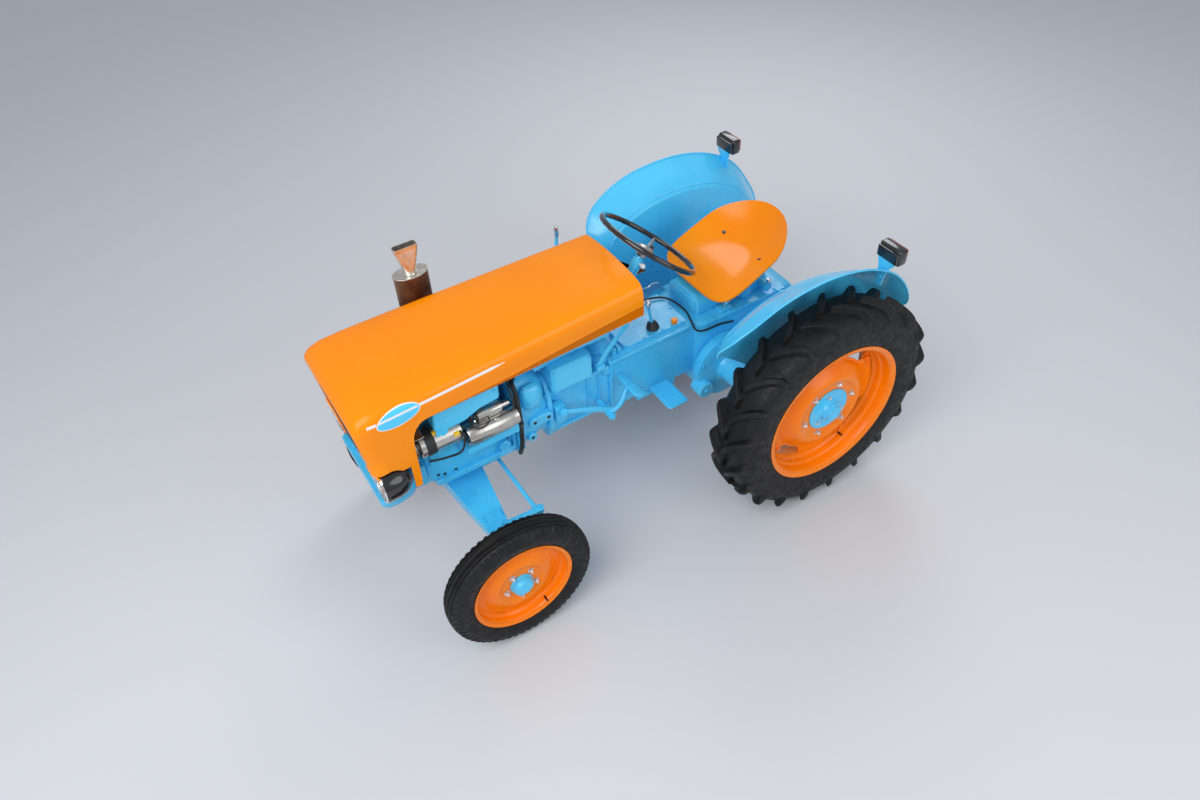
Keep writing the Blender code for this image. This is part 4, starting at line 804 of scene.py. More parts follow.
def makeFenders():
    s = fender
    stations = smoothPath(s["stations"], 90)
    angle, lipR, lipX = np.radians(stations[:, 0]), stations[:, 1], stations[:, 2]
    bend, rake = lipR - s["bendBelowLip"], lipX - s["wallX"]
    controls = np.array(((s["wallX"] + 0 * rake, s["footRadius"] + 0 * bend), (s["wallX"] + 0 * rake, 0.6 * bend),
                         (s["wallX"] + 0 * rake, bend - 0.035), (s["wallX"] + rake * 0.07, bend - 0.004),
                         (s["wallX"] + rake * 0.36, bend + 0.033), (s["wallX"] + rake * 0.72, bend + 0.062), (lipX, lipR)))
    section = smoothPath(controls.transpose(0, 2, 1), 40)          # section steps, stations, (x, radius)
    x, radius = section[..., 0].T, section[..., 1].T
    def place(side, x, radius, angle):
        return np.stack((side * x, radius * np.sin(angle), rearHub[2] + radius * np.cos(angle)), -1)
    for side, name in ((1, "left"), (-1, "right")):
        outer = place(side, x + s["wall"], radius - 0.3 * s["wall"], angle[:, None])
        inner = place(side, x, radius, angle[:, None])
        shell = Shell().rings(np.concatenate((outer, inner[:, ::-1]), 1))
        lip = place(side, lipX + 0.001, lipR, angle)
        shell.tube(lip, s["bead"], 10, (1, 0, 0))
        for end in (0, -1):
            edge = place(side, x[end] + 0.0014, radius[end], angle[end])
            shell.tube(edge[8:], s["bead"] * 0.7, 8, (0, 1, 0))
        # pressed stiffening line along the bend
        ridge = place(side, s["wallX"] + rake * 0.10 + 0.0005, bend + 0.002, angle)
        shell.tube(ridge[3:-3], 0.0024, 8, (1, 0, 0))
        shell.make("fender_" + name + "_panel", paint["blueEnamel"], "chassis", "blue_paint", 50, ("fender_" + name,))
        # inner wall carried down round the trumpet, further forward at the far side
        first = -62.0 if side > 0 else -118.0
        sweep = np.radians(np.linspace(first, 63.0, 60))
        reach = np.where(sweep < math.radians(-50), 0.385, 0.158)
        reach = np.convolve(np.pad(reach, 4, mode="edge"), np.ones(9) / 9, "valid")
        corners = ((0.0, 0.078), (0.0026, 0.078), (0.0026, None), (0.0, None))
        skirt = np.stack([place(side, np.full(60, s["wallX"] + 0.0002 + dx), reach if r is None else np.full(60, r), sweep)
                          for dx, r in corners], 1)
        shell = Shell().rings(skirt)
        shell.tube(place(side, np.full(60, s["wallX"] + 0.0015), reach, sweep), 0.0034, 8, (1, 0, 0))
        shell.make("fender_" + name + "_skirt", paint["blueEnamel"], "chassis", "blue_paint", 35)
        arms = Shell()
        inX, outX = sorted((side * 0.1503, side * 0.3850))
        arms.block((inX, -0.028, 0.692), (outX, 0.028, 0.713), 0.004)
        # folded gusset and thin brace that tie the wall to the housing behind the seat
        gusset = np.array(((0.10, 0.812), (0.215, 0.812), (0.228, 0.836), (0.120, 0.930)))
        arms.prism(gusset, "X", side * 0.384 - 0.003, side * 0.384 + 0.003)
        arms.prism(((0.10, 0.828), (0.215, 0.828), (0.200, 0.836), (0.110, 0.836)), "X",
                   *sorted((side * 0.384, side * 0.318)))
        arms.tube(((side * 0.322, 0.130, 0.832), (side * 0.230, 0.080, 0.815), (side * 0.140, 0.060, 0.800)), 0.006, 10)
        # lamp bracket, folded out from the fender's back and flared towards the lamp
        bx, by, bz = s["lamp"]
        wide = np.array((0.016, 0.019, 0.026, 0.040, 0.050))
        level = np.array((bz - 0.150, bz - 0.100, bz - 0.060, bz - 0.034, bz + 0.020))
        centre = np.array((bx - 0.020, bx - 0.014, bx - 0.006, bx, bx))
        depth = by - 0.0045 + np.array((0.0, 0.002, 0.0, 0.001, 0.0))
        ring = np.array(((-1, -1), (1, -1), (1, 1), (-1, 1)))
        rings = np.stack((side * (centre[:, None] + ring[:, 0] * wide[:, None]), depth[:, None] + ring[:, 1] * 0.0030
                          + 0 * wide[:, None], np.broadcast_to(level[:, None], (5, 4))), -1)
        arms.rings(rings)
        arms.bolts(((side * (bx - 0.012), by - 0.0075, bz - 0.110), (side * (bx - 0.012), by - 0.0075, bz - 0.080)),
                   (0, -1, 0), 0.006, 0.005)
        arms.make("fender_" + name + "_stays", paint["blueEnamel"], "chassis", "blue_paint", 35)
        lamp = Shell().block((side * bx - 0.055, by + 0.0005, bz - 0.035), (side * bx + 0.055, by + 0.046, bz + 0.035), 0.011)
        lamp.block((side * bx - 0.050, by - 0.010, bz - 0.024), (side * bx + 0.050, by + 0.004, bz + 0.024), 0.004)
        lamp.make("tail_lamp_" + name + "_case", paint["blackGloss"], "chassis", "black_gloss", 35,
                  ("tail_lamp_" + name,))
        lens = Shell().block((side * bx - 0.048, by + 0.040, bz - 0.028), (side * bx + 0.048, by + 0.0545, bz + 0.028), 0.006)
        for k in range(7):
            level = bz - 0.021 + k * 0.007
            lens.tube(((side * bx - 0.044, by + 0.0535, level), (side * bx, by + 0.0540, level),
                       (side * bx + 0.044, by + 0.0535, level)), 0.0016, 6)
        lens.make("tail_lamp_" + name + "_lens", paint["redLens"], "chassis", "red_lens", 35)


# ---- seat: a pan pressed from sheet, its rim rolled under ----
seatPan = {"centre": (0.0, -0.060, 0.9500), "halfWidth": 0.214, "halfLength": 0.217, "frontSquare": 5.0, "rearSquare": 2.05,
           "rimMiddle": 0.048, "rimClimb": 0.098, "wall": 0.0030, "lip": 0.0065, "holes": ((0.117, -0.012), (-0.117, -0.012)), "holeRadius": 0.0085}


def makeSeat():
    s = seatPan
    turn = np.linspace(0, math.tau, 144, endpoint=False)
    u, v = np.sin(turn), -np.cos(turn)                   # v runs from the front edge (-1) to the back (+1)
    power = s["frontSquare"] + (s["rearSquare"] - s["frontSquare"]) / (1 + np.exp(-6 * v))
    reach = (np.abs(u) ** power + np.abs(v) ** power) ** (-1 / power)
    u, v = u * reach, v * reach

    def surface(share):
        share = share[:, None]
        bowl = np.clip((share - 0.20) / 0.80, 0, 1)
        # the rim climbs evenly from the front corners to the back
        rise = bowl ** 2 * (s["rimMiddle"] + s["rimClimb"] * v)
        # shallow thigh channels and a low ridge between them
        rise = rise - 0.003 * np.exp(-(((np.abs(u) * share - 0.45) / 0.28) ** 2)) * np.clip(-v * share + 0.4, 0, 1) * (1 - share ** 4)
        x = s["centre"][0] + s["halfWidth"] * share * u * (1 - 0.045 * v * share)
        y = s["centre"][1] + s["halfLength"] * share * v
        return np.stack((x, y, s["centre"][2] + rise), -1)

    top = surface(np.sqrt(np.linspace(0, 1, 40)) * 0.985)
    edge, inside = top[-1], top[-4]
    out = edge - inside
    out /= np.linalg.norm(out, axis=1)[:, None]
    down = np.array((0, 0, -1.0))
    a = np.radians(np.linspace(70, -110, 9))
    lipCentre = edge + s["lip"] * down * 0.9
    roll = lipCentre + s["lip"] * (np.cos(a)[:, None, None] * out * 0.55 - np.sin(a)[:, None, None] * down)
    bottom = top[::-1] + s["wall"] * down
    rings = np.concatenate((top, roll, bottom[1:]))
    shell = Shell().rings(rings.transpose(1, 0, 2), True)
    drills = [Shell().turned(((-0.1, s["holeRadius"]), (0.1, s["holeRadius"])), (0, 0, 1), (x, y, s["centre"][2]), 24)
              for x, y in s["holes"]]
    points, faces = carve(shell, drills)
    meshPiece("seat_pan", points, faces, paint["orangeEnamel"], "chassis", 45, ("seat",), closed=False)
    # painted shade: a black disc just under each drain hole stands in for the shade inside the hole
    plugs = Shell()
    for x, y in s["holes"]:
        plugs.turned(((-0.0045, 0.0040), (-0.0045, s["holeRadius"] * 0.94), (-0.0015, s["holeRadius"] * 0.94), (-0.0015, 0.0040)), (0, 0, 1),
                     (x, y, s["centre"][2] + 0.0190), 24)
    plugs.make("seat_holes_painted_shade", paint["blackSatin"], "chassis", "black_gloss", 40)
    # coil spring between the seat and the housing, standing in its cup
    coil = np.linspace(0, 5.2 * math.tau, 160)
    spring = np.stack((0.032 * np.cos(coil), -0.115 + 0.032 * np.sin(coil), 0.878 + 0.052 * coil / coil[-1]), -1)
    under = Shell().tube(spring, 0.0048, 8)
    under.turned(((0, 0.010), (0, 0.042), (0.006, 0.042), (0.008, 0.036)), (0, 0, 1), (0, -0.115, 0.872), 32)
    under.block((-0.026, -0.16, 0.9300), (0.026, 0.02, 0.9360), 0.002)
    under.make("seat_spring", paint["blueEnamel"], "chassis", "blue_paint", 35)


# ---- steering wheel, hub and column fittings ----
steering = {"centre": (0.0, -0.476, 1.167), "tilt": 39.0, "radius": 0.204, "rim": 0.0108, "hubDrop": 0.040}


def steeringPoint(points):
    # wheel's own axes: across, back and up the column
    t = math.radians(steering["tilt"])
    axes = np.array(((1, 0, 0), (0, math.cos(t), -math.sin(t)), (0, math.sin(t), math.cos(t))))
    return np.asarray(points, float) @ axes + steering["centre"]


def makeSteering():
    s = steering
    a, b = np.meshgrid(np.linspace(0, math.tau, 128, endpoint=False), np.linspace(0, math.tau, 16, endpoint=False), indexing="ij")
    # finger waves on the underside of the ring
    r = s["rim"] * (1 + 0.05 * np.sin(30 * a) * (np.sin(b) < -0.2))
    ring = np.stack(((s["radius"] + r * np.cos(b)) * np.cos(a), (s["radius"] + r * np.cos(b)) * np.sin(a), r * np.sin(b)), -1)
    Shell().rings(steeringPoint(ring), True).make("steering_ring", paint["blackGloss"], "steering_wheel",
                                                  "black_gloss", 50, ("steering_wheel",))
    axis = steeringPoint((0, 0, 1)) - np.array(s["centre"])
    hub = Shell().turned(((-0.055, 0.012), (-0.055, 0.020), (-0.046, 0.023), (-0.042, 0.033), (-0.030, 0.036),
                          (-0.020, 0.033), (-0.012, 0.024), (-0.009, 0.010)), axis, s["centre"], 48)
    for turn in (10, 130, 250):
        c, d = math.cos(math.radians(turn)), math.sin(math.radians(turn))
        reach = np.array((0.020, 0.060, 0.120, 0.175, 0.200))
        drop = np.array((-0.034, -0.030, -0.019, -0.006, -0.001))
        path = steeringPoint(np.stack((reach * c, reach * d, drop), -1))
        hub.tube(path, (0.0105, 0.0090, 0.0075, 0.0065, 0.0055), 12, axis, 0.75)
    hub.make("steering_hub", paint["zincPlate"], "steering_wheel", "bare_steel", 40)


makeFenders()
makeSeat()
makeSteering()
print("fenders, seat and steering wheel built")


# ---- engine: crankcase with a bolted sump, cowl, starter, dynamo and their wires ----
engine = {"half": 0.140, "frontY": -1.560, "rearY": -1.1905, "sumpZ": 0.560, "flangeZ": 0.605, "topZ": 0.800,
          "flange": 0.018, "cowlOut": 0.205, "starter": (0.186, 0.812, 0.043), "solenoid": (0.174, 0.874, 0.024),
          "dynamo": (0.168, 0.852, 0.052)}


def makeEngine():
    s = engine
    block = Shell()
    # crankcase side view, carried across and drawn in at both sides
    side = np.array(((-1.556, 0.603), (-1.195, 0.603), (-1.1905, 0.640), (-1.1905, 0.798), (-1.400, 0.798), (-1.425, 0.780),
                     (-1.540, 0.772), (-1.560, 0.755)))
    side = smoothCorners(side, 0.012)
    block.prism(side, "X", -s["half"], s["half"], 0.010)
    sump = smoothCorners(np.array(((-1.545, 0.600), (-1.205, 0.600), (-1.225, 0.562), (-1.380, 0.560), (-1.505, 0.572))), 0.010)
    block.prism(sump, "X", -s["half"] + 0.012, s["half"] - 0.012, 0.012)
    flange = smoothCorners(np.array(((-0.157, -1.528), (0.157, -1.528), (0.157, -1.192), (-0.157, -1.192))), 0.014)
    block.prism(flange, "Z", 0.5985, 0.6145, 0.002)
    block.prism(flange * (0.985, 1) + (0, 0), "Z", 0.5865, 0.5975, 0.002)
    # cradle that carries the starter: a curved lip rising at the rear of the side
    cradle = np.stack((np.linspace(-1.405, -1.196, 24), 0.772 + 0.030 * np.linspace(0, 1, 24) ** 3), -1)
    cradle = np.concatenate((cradle, ((-1.196, 0.742), (-1.405, 0.742))))
    block.prism(cradle, "X", s["half"] - 0.004, 0.213, 0.003)
    block.prism(smoothCorners(np.array(((-1.54, 0.70), (-1.42, 0.70), (-1.43, 0.775), (-1.53, 0.775))), 0.01), "X",
                s["half"] - 0.002, s["half"] + 0.012, 0.003)
    # webs down the side and a rounded end boss beside the axle
    block.prism(smoothCorners(np.array(((-1.205, 0.60), (-1.191, 0.60), (-1.191, 0.775), (-1.205, 0.775))), 0.003), "X",
                0.130, 0.160, 0.003)
    block.turned(((0, 0.020), (0.004, 0.024), (0.030, 0.024), (0.034, 0.019)), (1, 0, 0), (0.128, -1.240, 0.640), 32)
    bolts = [(x, y, 0.6145) for x in (-0.148, 0.148) for y in np.linspace(-1.510, -1.215, 6)]
    block.bolts(bolts, (0, 0, 1), 0.0062, 0.005)
    # timing cover with its rim of screws
    cover = smoothCorners(np.array(((-0.125, 0.610), (0.125, 0.610), (0.125, 0.760), (-0.125, 0.760))), 0.03)
    block.prism(cover, "Y", -1.5660, -1.5590, 0.002)
    block.bolts([(x, -1.5655, z) for x in (-0.112, 0, 0.112) for z in (0.624, 0.745)], (0, -1, 0), 0.0058, 0.0045)
    block.make("engine_crankcase", paint["blueCasting"], "chassis", "blue_paint", 32, ("engine_block",))

    # cooling cowl: a pressed box over the cylinder with a stepped lower edge and a side sheet
    cowl = Shell()
    body = smoothCorners(np.array(((-1.530, 0.801), (-1.220, 0.801), (-1.220, 1.010), (-1.250, 1.020), (-1.500, 1.020),
                                   (-1.530, 0.985))), 0.014)
    cowl.prism(body, "X", -0.115, 0.115, 0.010)
    sheet = smoothCorners(np.array(((-1.510, 0.915), (-1.470, 0.900), (-1.395, 0.906), (-1.330, 0.935), (-1.250, 0.945),
                                    (-1.250, 1.005), (-1.505, 1.005))), 0.008)
    cowl.prism(sheet, "X", 0.112, s["cowlOut"], 0.006)
    flap = smoothCorners(np.array(((-1.508, 0.885), (-1.466, 0.872), (-1.462, 0.905), (-1.505, 0.918))), 0.004)
    cowl.prism(flap, "X", s["cowlOut"] - 0.0035, s["cowlOut"] - 0.0003, 0.0008)
    cowl.bolts(((s["cowlOut"], -1.488, 0.918), (s["cowlOut"], -1.270, 0.985), (s["cowlOut"] - 0.0003, -1.480, 0.889)), (1, 0, 0), 0.006, 0.004)
    for k in range(9):          # cooling fins seen under the hood on the far side
        z = 0.830 + k * 0.018
        cowl.block((-0.128, -1.500, z), (-0.100, -1.250, z + 0.005), 0.002)
    cowl.make("cylinder_cowl", paint["blueEnamel"], "chassis", "blue_paint", 32, ("cylinder_shroud",))

    metal, dark, plug, bolt = Shell(), Shell(), Shell(), Shell()
    x, z, r = s["starter"]
    metal.turned(((-1.3945, r * 0.80), (-1.3945, r * 0.96), (-1.390, r), (-1.343, r), (-1.3425, r * 0.975), (-1.3405, r * 0.975),
                  (-1.340, r), (-1.232, r), (-1.230, r * 0.97), (-1.222, r * 0.97), (-1.220, r * 0.94), (-1.1915, r * 0.86),
                  (-1.1905, r * 0.6)), (0, 1, 0), (x, 0, z), 56)
    dark.turned(((-1.3955, r * 0.30), (-1.3955, r * 0.74), (-1.3938, r * 0.78)), (0, 1, 0), (x, 0, z), 40)
    bolt.bolts(((x + r * 0.45, -1.275, z + r * 0.893),), (0.45, 0, 0.893), 0.008, 0.003, washer=False)
    bolt.bolts(((x + r * 0.62, -1.3952, z - r * 0.4), (x - r * 0.6, -1.3952, z + r * 0.45)), (0, -1, 0), 0.005, 0.004)
    sx, sz, sr = s["solenoid"]
    metal.turned(((-1.340, sr * 0.5), (-1.340, sr * 0.95), (-1.337, sr), (-1.262, sr), (-1.260, sr * 0.90), (-1.246, sr * 0.88),
                  (-1.244, sr * 0.50), (-1.210, sr * 0.46), (-1.209, sr * 0.2)), (0, 1, 0), (sx, 0, sz), 44)
    dark.turned(((-1.351, sr * 0.60), (-1.351, sr * 0.82), (-1.3395, sr * 0.86)), (0, 1, 0), (sx, 0, sz), 36)
    metal.block((sx - 0.014, -1.33, z + r - 0.006), (sx + 0.014, -1.25, sz - sr + 0.006), 0.003)
    for dz, dx in ((0.010, 0.008), (-0.010, 0.010)):
        bolt.bolts(((sx + dx, -1.3500, sz + dz),), (0, -1, 0), 0.0065, 0.007)
    bolt.turned(((-1.374, 0.0028), (-1.350, 0.0028)), (0, 1, 0), (sx + 0.008, 0, sz + 0.010), 12)
    dx, dz, dr = s["dynamo"]
    metal.turned(((-1.5740, dr * 0.55), (-1.5740, dr * 0.90), (-1.570, dr * 0.97), (-1.553, dr * 0.97), (-1.552, dr * 0.93),
                  (-1.518, dr * 0.93), (-1.517, dr * 0.985), (-1.430, dr * 0.985), (-1.428, dr * 0.94), (-1.4140, dr * 0.88),
                  (-1.4135, dr * 0.5)), (0, 1, 0), (dx, 0, dz), 60)
    dark.lathe(((-1.5515, dr * 0.90), (-1.5185, dr * 0.90), (-1.5185, dr * 1.000), (-1.5515, dr * 1.000)), (0, 1, 0), (dx, 0, dz), 60)
    # belt pulley behind the nose: two dished halves
    metal.turned(((-1.5995, 0.012), (-1.5995, 0.040), (-1.594, 0.046), (-1.590, 0.040), (-1.586, 0.046), (-1.580, 0.040),
                  (-1.578, 0.016), (-1.573, 0.016)), (0, 1, 0), (dx, 0, dz), 48)
    strap = np.stack((dx + (dr + 0.004) * np.cos(np.linspace(2.0, -1.1, 18)), np.full(18, -1.487),
                      dz + (dr + 0.004) * np.sin(np.linspace(2.0, -1.1, 18))), -1)
    metal.block((dx - 0.045, -1.585, dz + dr + 0.004), (dx + 0.032, -1.548, dz + dr + 0.008), 0.002)
    for place, size in (((dx + 0.022, -1.508, dz + 0.046), (0.007, 0.010, 0.009)), ((dx + 0.004, -1.452, dz + 0.052), (0.010, 0.007, 0.007)),
                        ((dx + 0.046, -1.437, dz + 0.022), (0.007, 0.011, 0.008))):
        place, size = np.array(place), np.array(size)
        plug.block(place - size, place + size, 0.003)
        dark.block(place - size * 0.7 + (-0.004, 0.012, -0.002), place + size * 0.7 + (-0.004, 0.012, -0.002), 0.002)
    metal.make("starter_and_dynamo", paint["zincPlate"], "chassis", "bare_steel", 35, ("starter_motor", "dynamo"))
    dark.make("starter_dark_parts", paint["blackSatin"], "chassis", "black_gloss", 35)
    plug.make("dynamo_plugs", paint["yellowPlug"], "chassis", "white_paint", 35)
    bolt.make("starter_terminals", paint["brightChrome"], "chassis", "bright_chrome", 30)

    # wires and the loom, each a tube along a smooth path
    wires = Shell()
    wires.tube(smoothPath(((0.125, -1.160, 0.930), (0.150, -1.178, 0.928), (0.176, -1.1795, 0.900), (0.188, -1.1795, 0.830),
                           (0.188, -1.1795, 0.730), (0.186, -1.182, 0.650), (0.180, -1.186, 0.612), (0.165, -1.186, 0.575)), 60), 0.0095, 14, (0, 1, 0))
    for path, width in (
            (((0.090, -1.20, 1.000), (0.140, -1.235, 0.985), (0.185, -1.330, 0.945), (0.186, -1.372, 0.905), (sx + 0.008, -1.366, sz + 0.012)), 0.0048),
            (((0.098, -1.20, 0.990), (0.150, -1.240, 0.972), (0.200, -1.330, 0.925), (0.192, -1.375, 0.880), (sx + 0.010, -1.360, sz - 0.010)), 0.0036),
            (((sx + 0.008, -1.362, sz + 0.008), (0.210, -1.378, 0.872), (0.2240, -1.345, 0.858), (0.214, -1.310, 0.862), (sx + 0.020, -1.305, sz)), 0.0026),
            (((dx + 0.046, -1.425, dz + 0.022), (0.222, -1.412, 0.858), (0.214, -1.430, 0.780), (0.178, -1.480, 0.742), (0.158, -1.540, 0.738)), 0.0042),
            (((dx + 0.004, -1.440, dz + 0.052), (0.182, -1.420, 0.920), (0.150, -1.400, 0.915), (0.118, -1.39, 0.905)), 0.0036),
            (((0.150, -1.195, 0.950), (0.186, -1.205, 0.940), (0.196, -1.200, 0.890), (0.192, -1.196, 0.800), (0.176, -1.196, 0.770)), 0.0042)):
        wires.tube(smoothPath(path, 40), width, 10, (0.3, 0.2, 1))
    wires.make("engine_wires", paint["cableBlack"], "chassis", "cable_rubber", 50, ("wiring_loom",))
    clamp = Shell().tube(((0.188, -1.1795, 0.742), (0.188, -1.1795, 0.758)), 0.0125, 16, (0, 1, 0))
    clamp.bolts(((0.199, -1.1795, 0.750),), (1, 0, 0), 0.005, 0.004)
    clamp.make("loom_clamp", paint["darkSteel"], "chassis", "bare_steel", 35)


def smoothCorners(outline, radius, steps=4):
    # each corner of a closed outline becomes a short quadratic arc
    p = np.asarray(outline, float)
    before, after = np.roll(p, 1, 0) - p, np.roll(p, -1, 0) - p
    lb, la = np.linalg.norm(before, axis=1), np.linalg.norm(after, axis=1)
    reach = np.minimum(radius, 0.45 * np.minimum(lb, la))[:, None]
    a, b = p + before / lb[:, None] * reach, p + after / la[:, None] * reach
    t = np.linspace(0, 1, steps + 1)[None, :, None]
    return ((1 - t) ** 2 * a[:, None] + 2 * t * (1 - t) * p[:, None] + t ** 2 * b[:, None]).reshape(-1, 2)


makeEngine()
print("engine, starter, dynamo and wires built")


# ---- driveline: bell housing, gearbox and rear housing castings ----
drive = {"bell": (-1.1895, -1.0205), "bellHalf": 0.172, "bellZ": (0.565, 0.925), "boxHalf": 0.120, "boxZ": (0.520, 0.790),
         "boxY": (-1.020, -0.330), "rearHalf": 0.150, "rearY": (-0.330, 0.170), "rearZ": (0.370, 0.790),
         "casing": (-0.214, 0.565), "casingRadius": 0.155, "stubRadius": 0.056, "trumpetRadius": 0.075}


def makeDriveline():
    s = drive
    bell = Shell()
    low, high = s["bellZ"]
    h = s["bellHalf"]
    # lofted casting: the upper corners narrow towards the top, front flange to rear flange
    def section(y, half, bottom, top, round_):
        outline = smoothCorners(np.array(((-half * 0.80, bottom), (half * 0.80, bottom), (half, bottom + 0.07), (half, top - 0.115),
                                          (half * 0.82, top - 0.022), (half * 0.62, top), (-half * 0.62, top),
                                          (-half * 0.82, top - 0.022), (-half, top - 0.115), (-half, bottom + 0.07))), round_, 4)
        return np.stack((outline[:, 0], np.full(len(outline), y), outline[:, 1]), -1)
    bell.rings([section(*a) for a in ((-1.1695, 0.160, low, high - 0.012, 0.03), (-1.120, 0.157, low + 0.004, high - 0.014, 0.03),
                                      (-1.070, 0.146, low + 0.018, high - 0.040, 0.035), (-1.038, 0.138, 0.548, 0.840, 0.04),
                                      (-1.0205, 0.136, 0.545, 0.830, 0.04))])
    for y0, y1, grow, lowZ, highZ in ((-1.1893, -1.1693, 0.012, low - 0.010, high), (-1.0405, -1.0206, -0.018, 0.535, 0.842)):
        bell.rings([section(y0, h + grow - 0.002, lowZ + 0.002, highZ - 0.002, 0.03), section(y0 + 0.003, h + grow, lowZ, highZ, 0.03),
                    section(y1 - 0.003, h + grow, lowZ, highZ, 0.03), section(y1, h + grow - 0.002, lowZ + 0.002, highZ - 0.002, 0.03)])
    # rounded pocket bulge on the side, a lozenge blended to the wall
    u, v = np.meshgrid(np.linspace(0, 1, 18), np.linspace(0, math.tau, 48, endpoint=False), indexing="ij")
    power = (np.abs(np.cos(v)) ** 3.2 + np.abs(np.sin(v)) ** 3.2) ** (-1 / 3.2)
    swell = np.sqrt(np.clip(1 - u ** 2.6, 0, 1))
    for side in (1, -1):
        pocket = np.stack((side * (0.150 + 0.030 * swell), -1.108 + 0.046 * u * power * np.cos(v), 0.826 + 0.060 * u * power * np.sin(v)), -1)
        bell.rings(pocket[1:])
        # obround boss with two holes, and a small round one
        slotEnd = np.linspace(0, math.pi, 12)
        obround = np.concatenate((np.stack((-1.085 + 0.034 + 0.022 * np.sin(slotEnd), 0.700 + 0.022 * np.cos(slotEnd)), -1),
                                  np.stack((-1.085 - 0.028 - 0.022 * np.sin(slotEnd), 0.700 - 0.022 * np.cos(slotEnd)), -1)))
        bell.prism(obround, "X", *sorted((side * 0.140, side * 0.171)), 0.003)
        bell.turned(((0, 0.022), (0.030, 0.020), (0.034, 0.016)), (side, 0, 0), (side * 0.134, -1.126, 0.625), 28)
    # ledge along the top edge with its gasket step
    bell.block((-0.108, -1.185, 0.918), (0.108, -1.075, 0.930), 0.003)
    bell.bolts([(x, y, 0.9295) for x in (-0.094, 0.094) for y in (-1.170, -1.092)], (0, 0, 1), 0.006, 0.005)
    bell.bolts([(side * 0.166, -1.1692, z) for side in (1, -1) for z in (0.600, 0.66, 0.735, 0.800)], (0, 1, 0), 0.0068, 0.006)
    bell.bolts([(side * 0.140, -1.0405, z) for side in (1, -1) for z in (0.62, 0.70, 0.78)], (0, -1, 0), 0.0068, 0.006)
    bell.make("bell_casting", paint["blueCasting"], "chassis", "blue_paint", 32, ("bell_housing",))

    # painted shade: black discs set flush on the bosses stand in for the shade inside the threaded holes
    holes = Shell()
    for side in (1, -1):
        for y, z, x in ((-1.112, 0.700, 0.1712), (-1.052, 0.700, 0.1712), (-1.126, 0.625, 0.1684)):
            holes.turned(((-0.004, 0.0078), (0.0002, 0.0078)), (side, 0, 0), (side * x, y, z), 20)
    for y, z in ((-1.515, 0.632), (-1.490, 0.622), (-1.445, 0.620), (-1.225, 0.625), (-1.222, 0.655)):
        holes.turned(((-0.003, 0.0068), (0.0004, 0.0068)), (1, 0, 0), (0.1402, y, z), 18)
    holes.make("threaded_holes_painted_shade", paint["blackSatin"], "chassis", "black_gloss", 40)

    box = Shell()
    def boxSection(y, half, bottom, top, r=0.018):
        outline = smoothCorners(np.array(((-half, bottom), (half, bottom), (half, top), (-half, top))), r, 5)
        return np.stack((outline[:, 0], np.full(len(outline), y), outline[:, 1]), -1)
    box.rings([boxSection(*a) for a in ((-1.0195, 0.120, 0.532, 0.770), (-0.960, 0.110, 0.536, 0.764), (-0.800, 0.108, 0.536, 0.764),
                                        (-0.744, 0.110, 0.532, 0.770), (-0.738, 0.119, 0.524, 0.788), (-0.700, 0.1195, 0.521, 0.789),
                                        (-0.500, 0.1195, 0.521, 0.789), (-0.3305, 0.1195, 0.521, 0.789))])
    # rails and ribs cast on the front part's side, and the flange between the two parts
    for side in (1, -1):
        inner, outer = sorted((side * 0.100, side * 0.1185))
        box.block((inner, -1.018, 0.748), (outer, -0.742, 0.764), 0.004)
        box.block((inner, -1.018, 0.545), (outer, -0.742, 0.560), 0.004)
        for y in (-0.790, -0.842):
            box.block((inner, y - 0.004, 0.555), (outer - side * 0.003 if side > 0 else outer, y + 0.004, 0.752), 0.003)
        box.turned(((0, 0.024), (0.016, 0.022), (0.020, 0.016)), (side, 0, 0), (side * 0.102, -0.752, 0.742), 28)
        box.turned(((0, 0.019), (0.014, 0.017), (0.017, 0.012)), (side, 0, 0), (side * 0.104, -0.985, 0.705), 28)
        box.bolts(((side * 0.1185, -0.765, 0.742), (side * 0.121, -0.985, 0.705)), (side, 0, 0), 0.008, 0.006)
    outline = smoothCorners(np.array(((-0.126, 0.514), (0.126, 0.514), (0.126, 0.788), (-0.126, 0.788))), 0.02)
    box.prism(outline, "Y", -0.744, -0.732, 0.002)
    # lid: a plate on a raised border, studded with bolts
    lid = smoothCorners(np.array(((-0.106, -0.662), (0.106, -0.662), (0.106, -0.352), (-0.106, -0.352))), 0.016)
    box.prism(lid, "Z", 0.787, 0.7950, 0.0015)
    box.prism(lid * 0.965 + lid.mean(0) * 0.035, "Z", 0.794, 0.8020, 0.002)
    box.bolts([(x, y, 0.8020) for x in (-0.095, 0.095) for y in (-0.645, -0.560, -0.470, -0.380)]
              + [(0, -0.652, 0.8020), (0.0, -0.366, 0.8020)], (0, 0, 1), 0.0062, 0.005)
    # steering box: a stepped dome and its clamp on the front part
    box.block((-0.055, -0.845, 0.760), (0.055, -0.690, 0.812), 0.012)
    box.turned(((0, 0.048), (0.012, 0.048), (0.016, 0.041), (0.030, 0.038), (0.036, 0.027), (0.046, 0.024), (0.050, 0.016)),
               (0.18, 0, 1), (0.030, -0.745, 0.800), 40)
    box.bolts(circlePlaces((0.0322, -0.745, 0.8125), 0.043, (0.18, 0, 1), 5, 20), (0.18, 0, 1), 0.0050, 0.0045)
    box.block((0.040, -0.800, 0.770), (0.108, -0.742, 0.800), 0.010)
    box.turned(((0, 0.012), (0.020, 0.012), (0.022, 0.008)), (0, 0, 1), (0.092, -0.705, 0.790), 20)
    box.block((0.060, -0.690, 0.786), (0.104, -0.672, 0.812), 0.005)
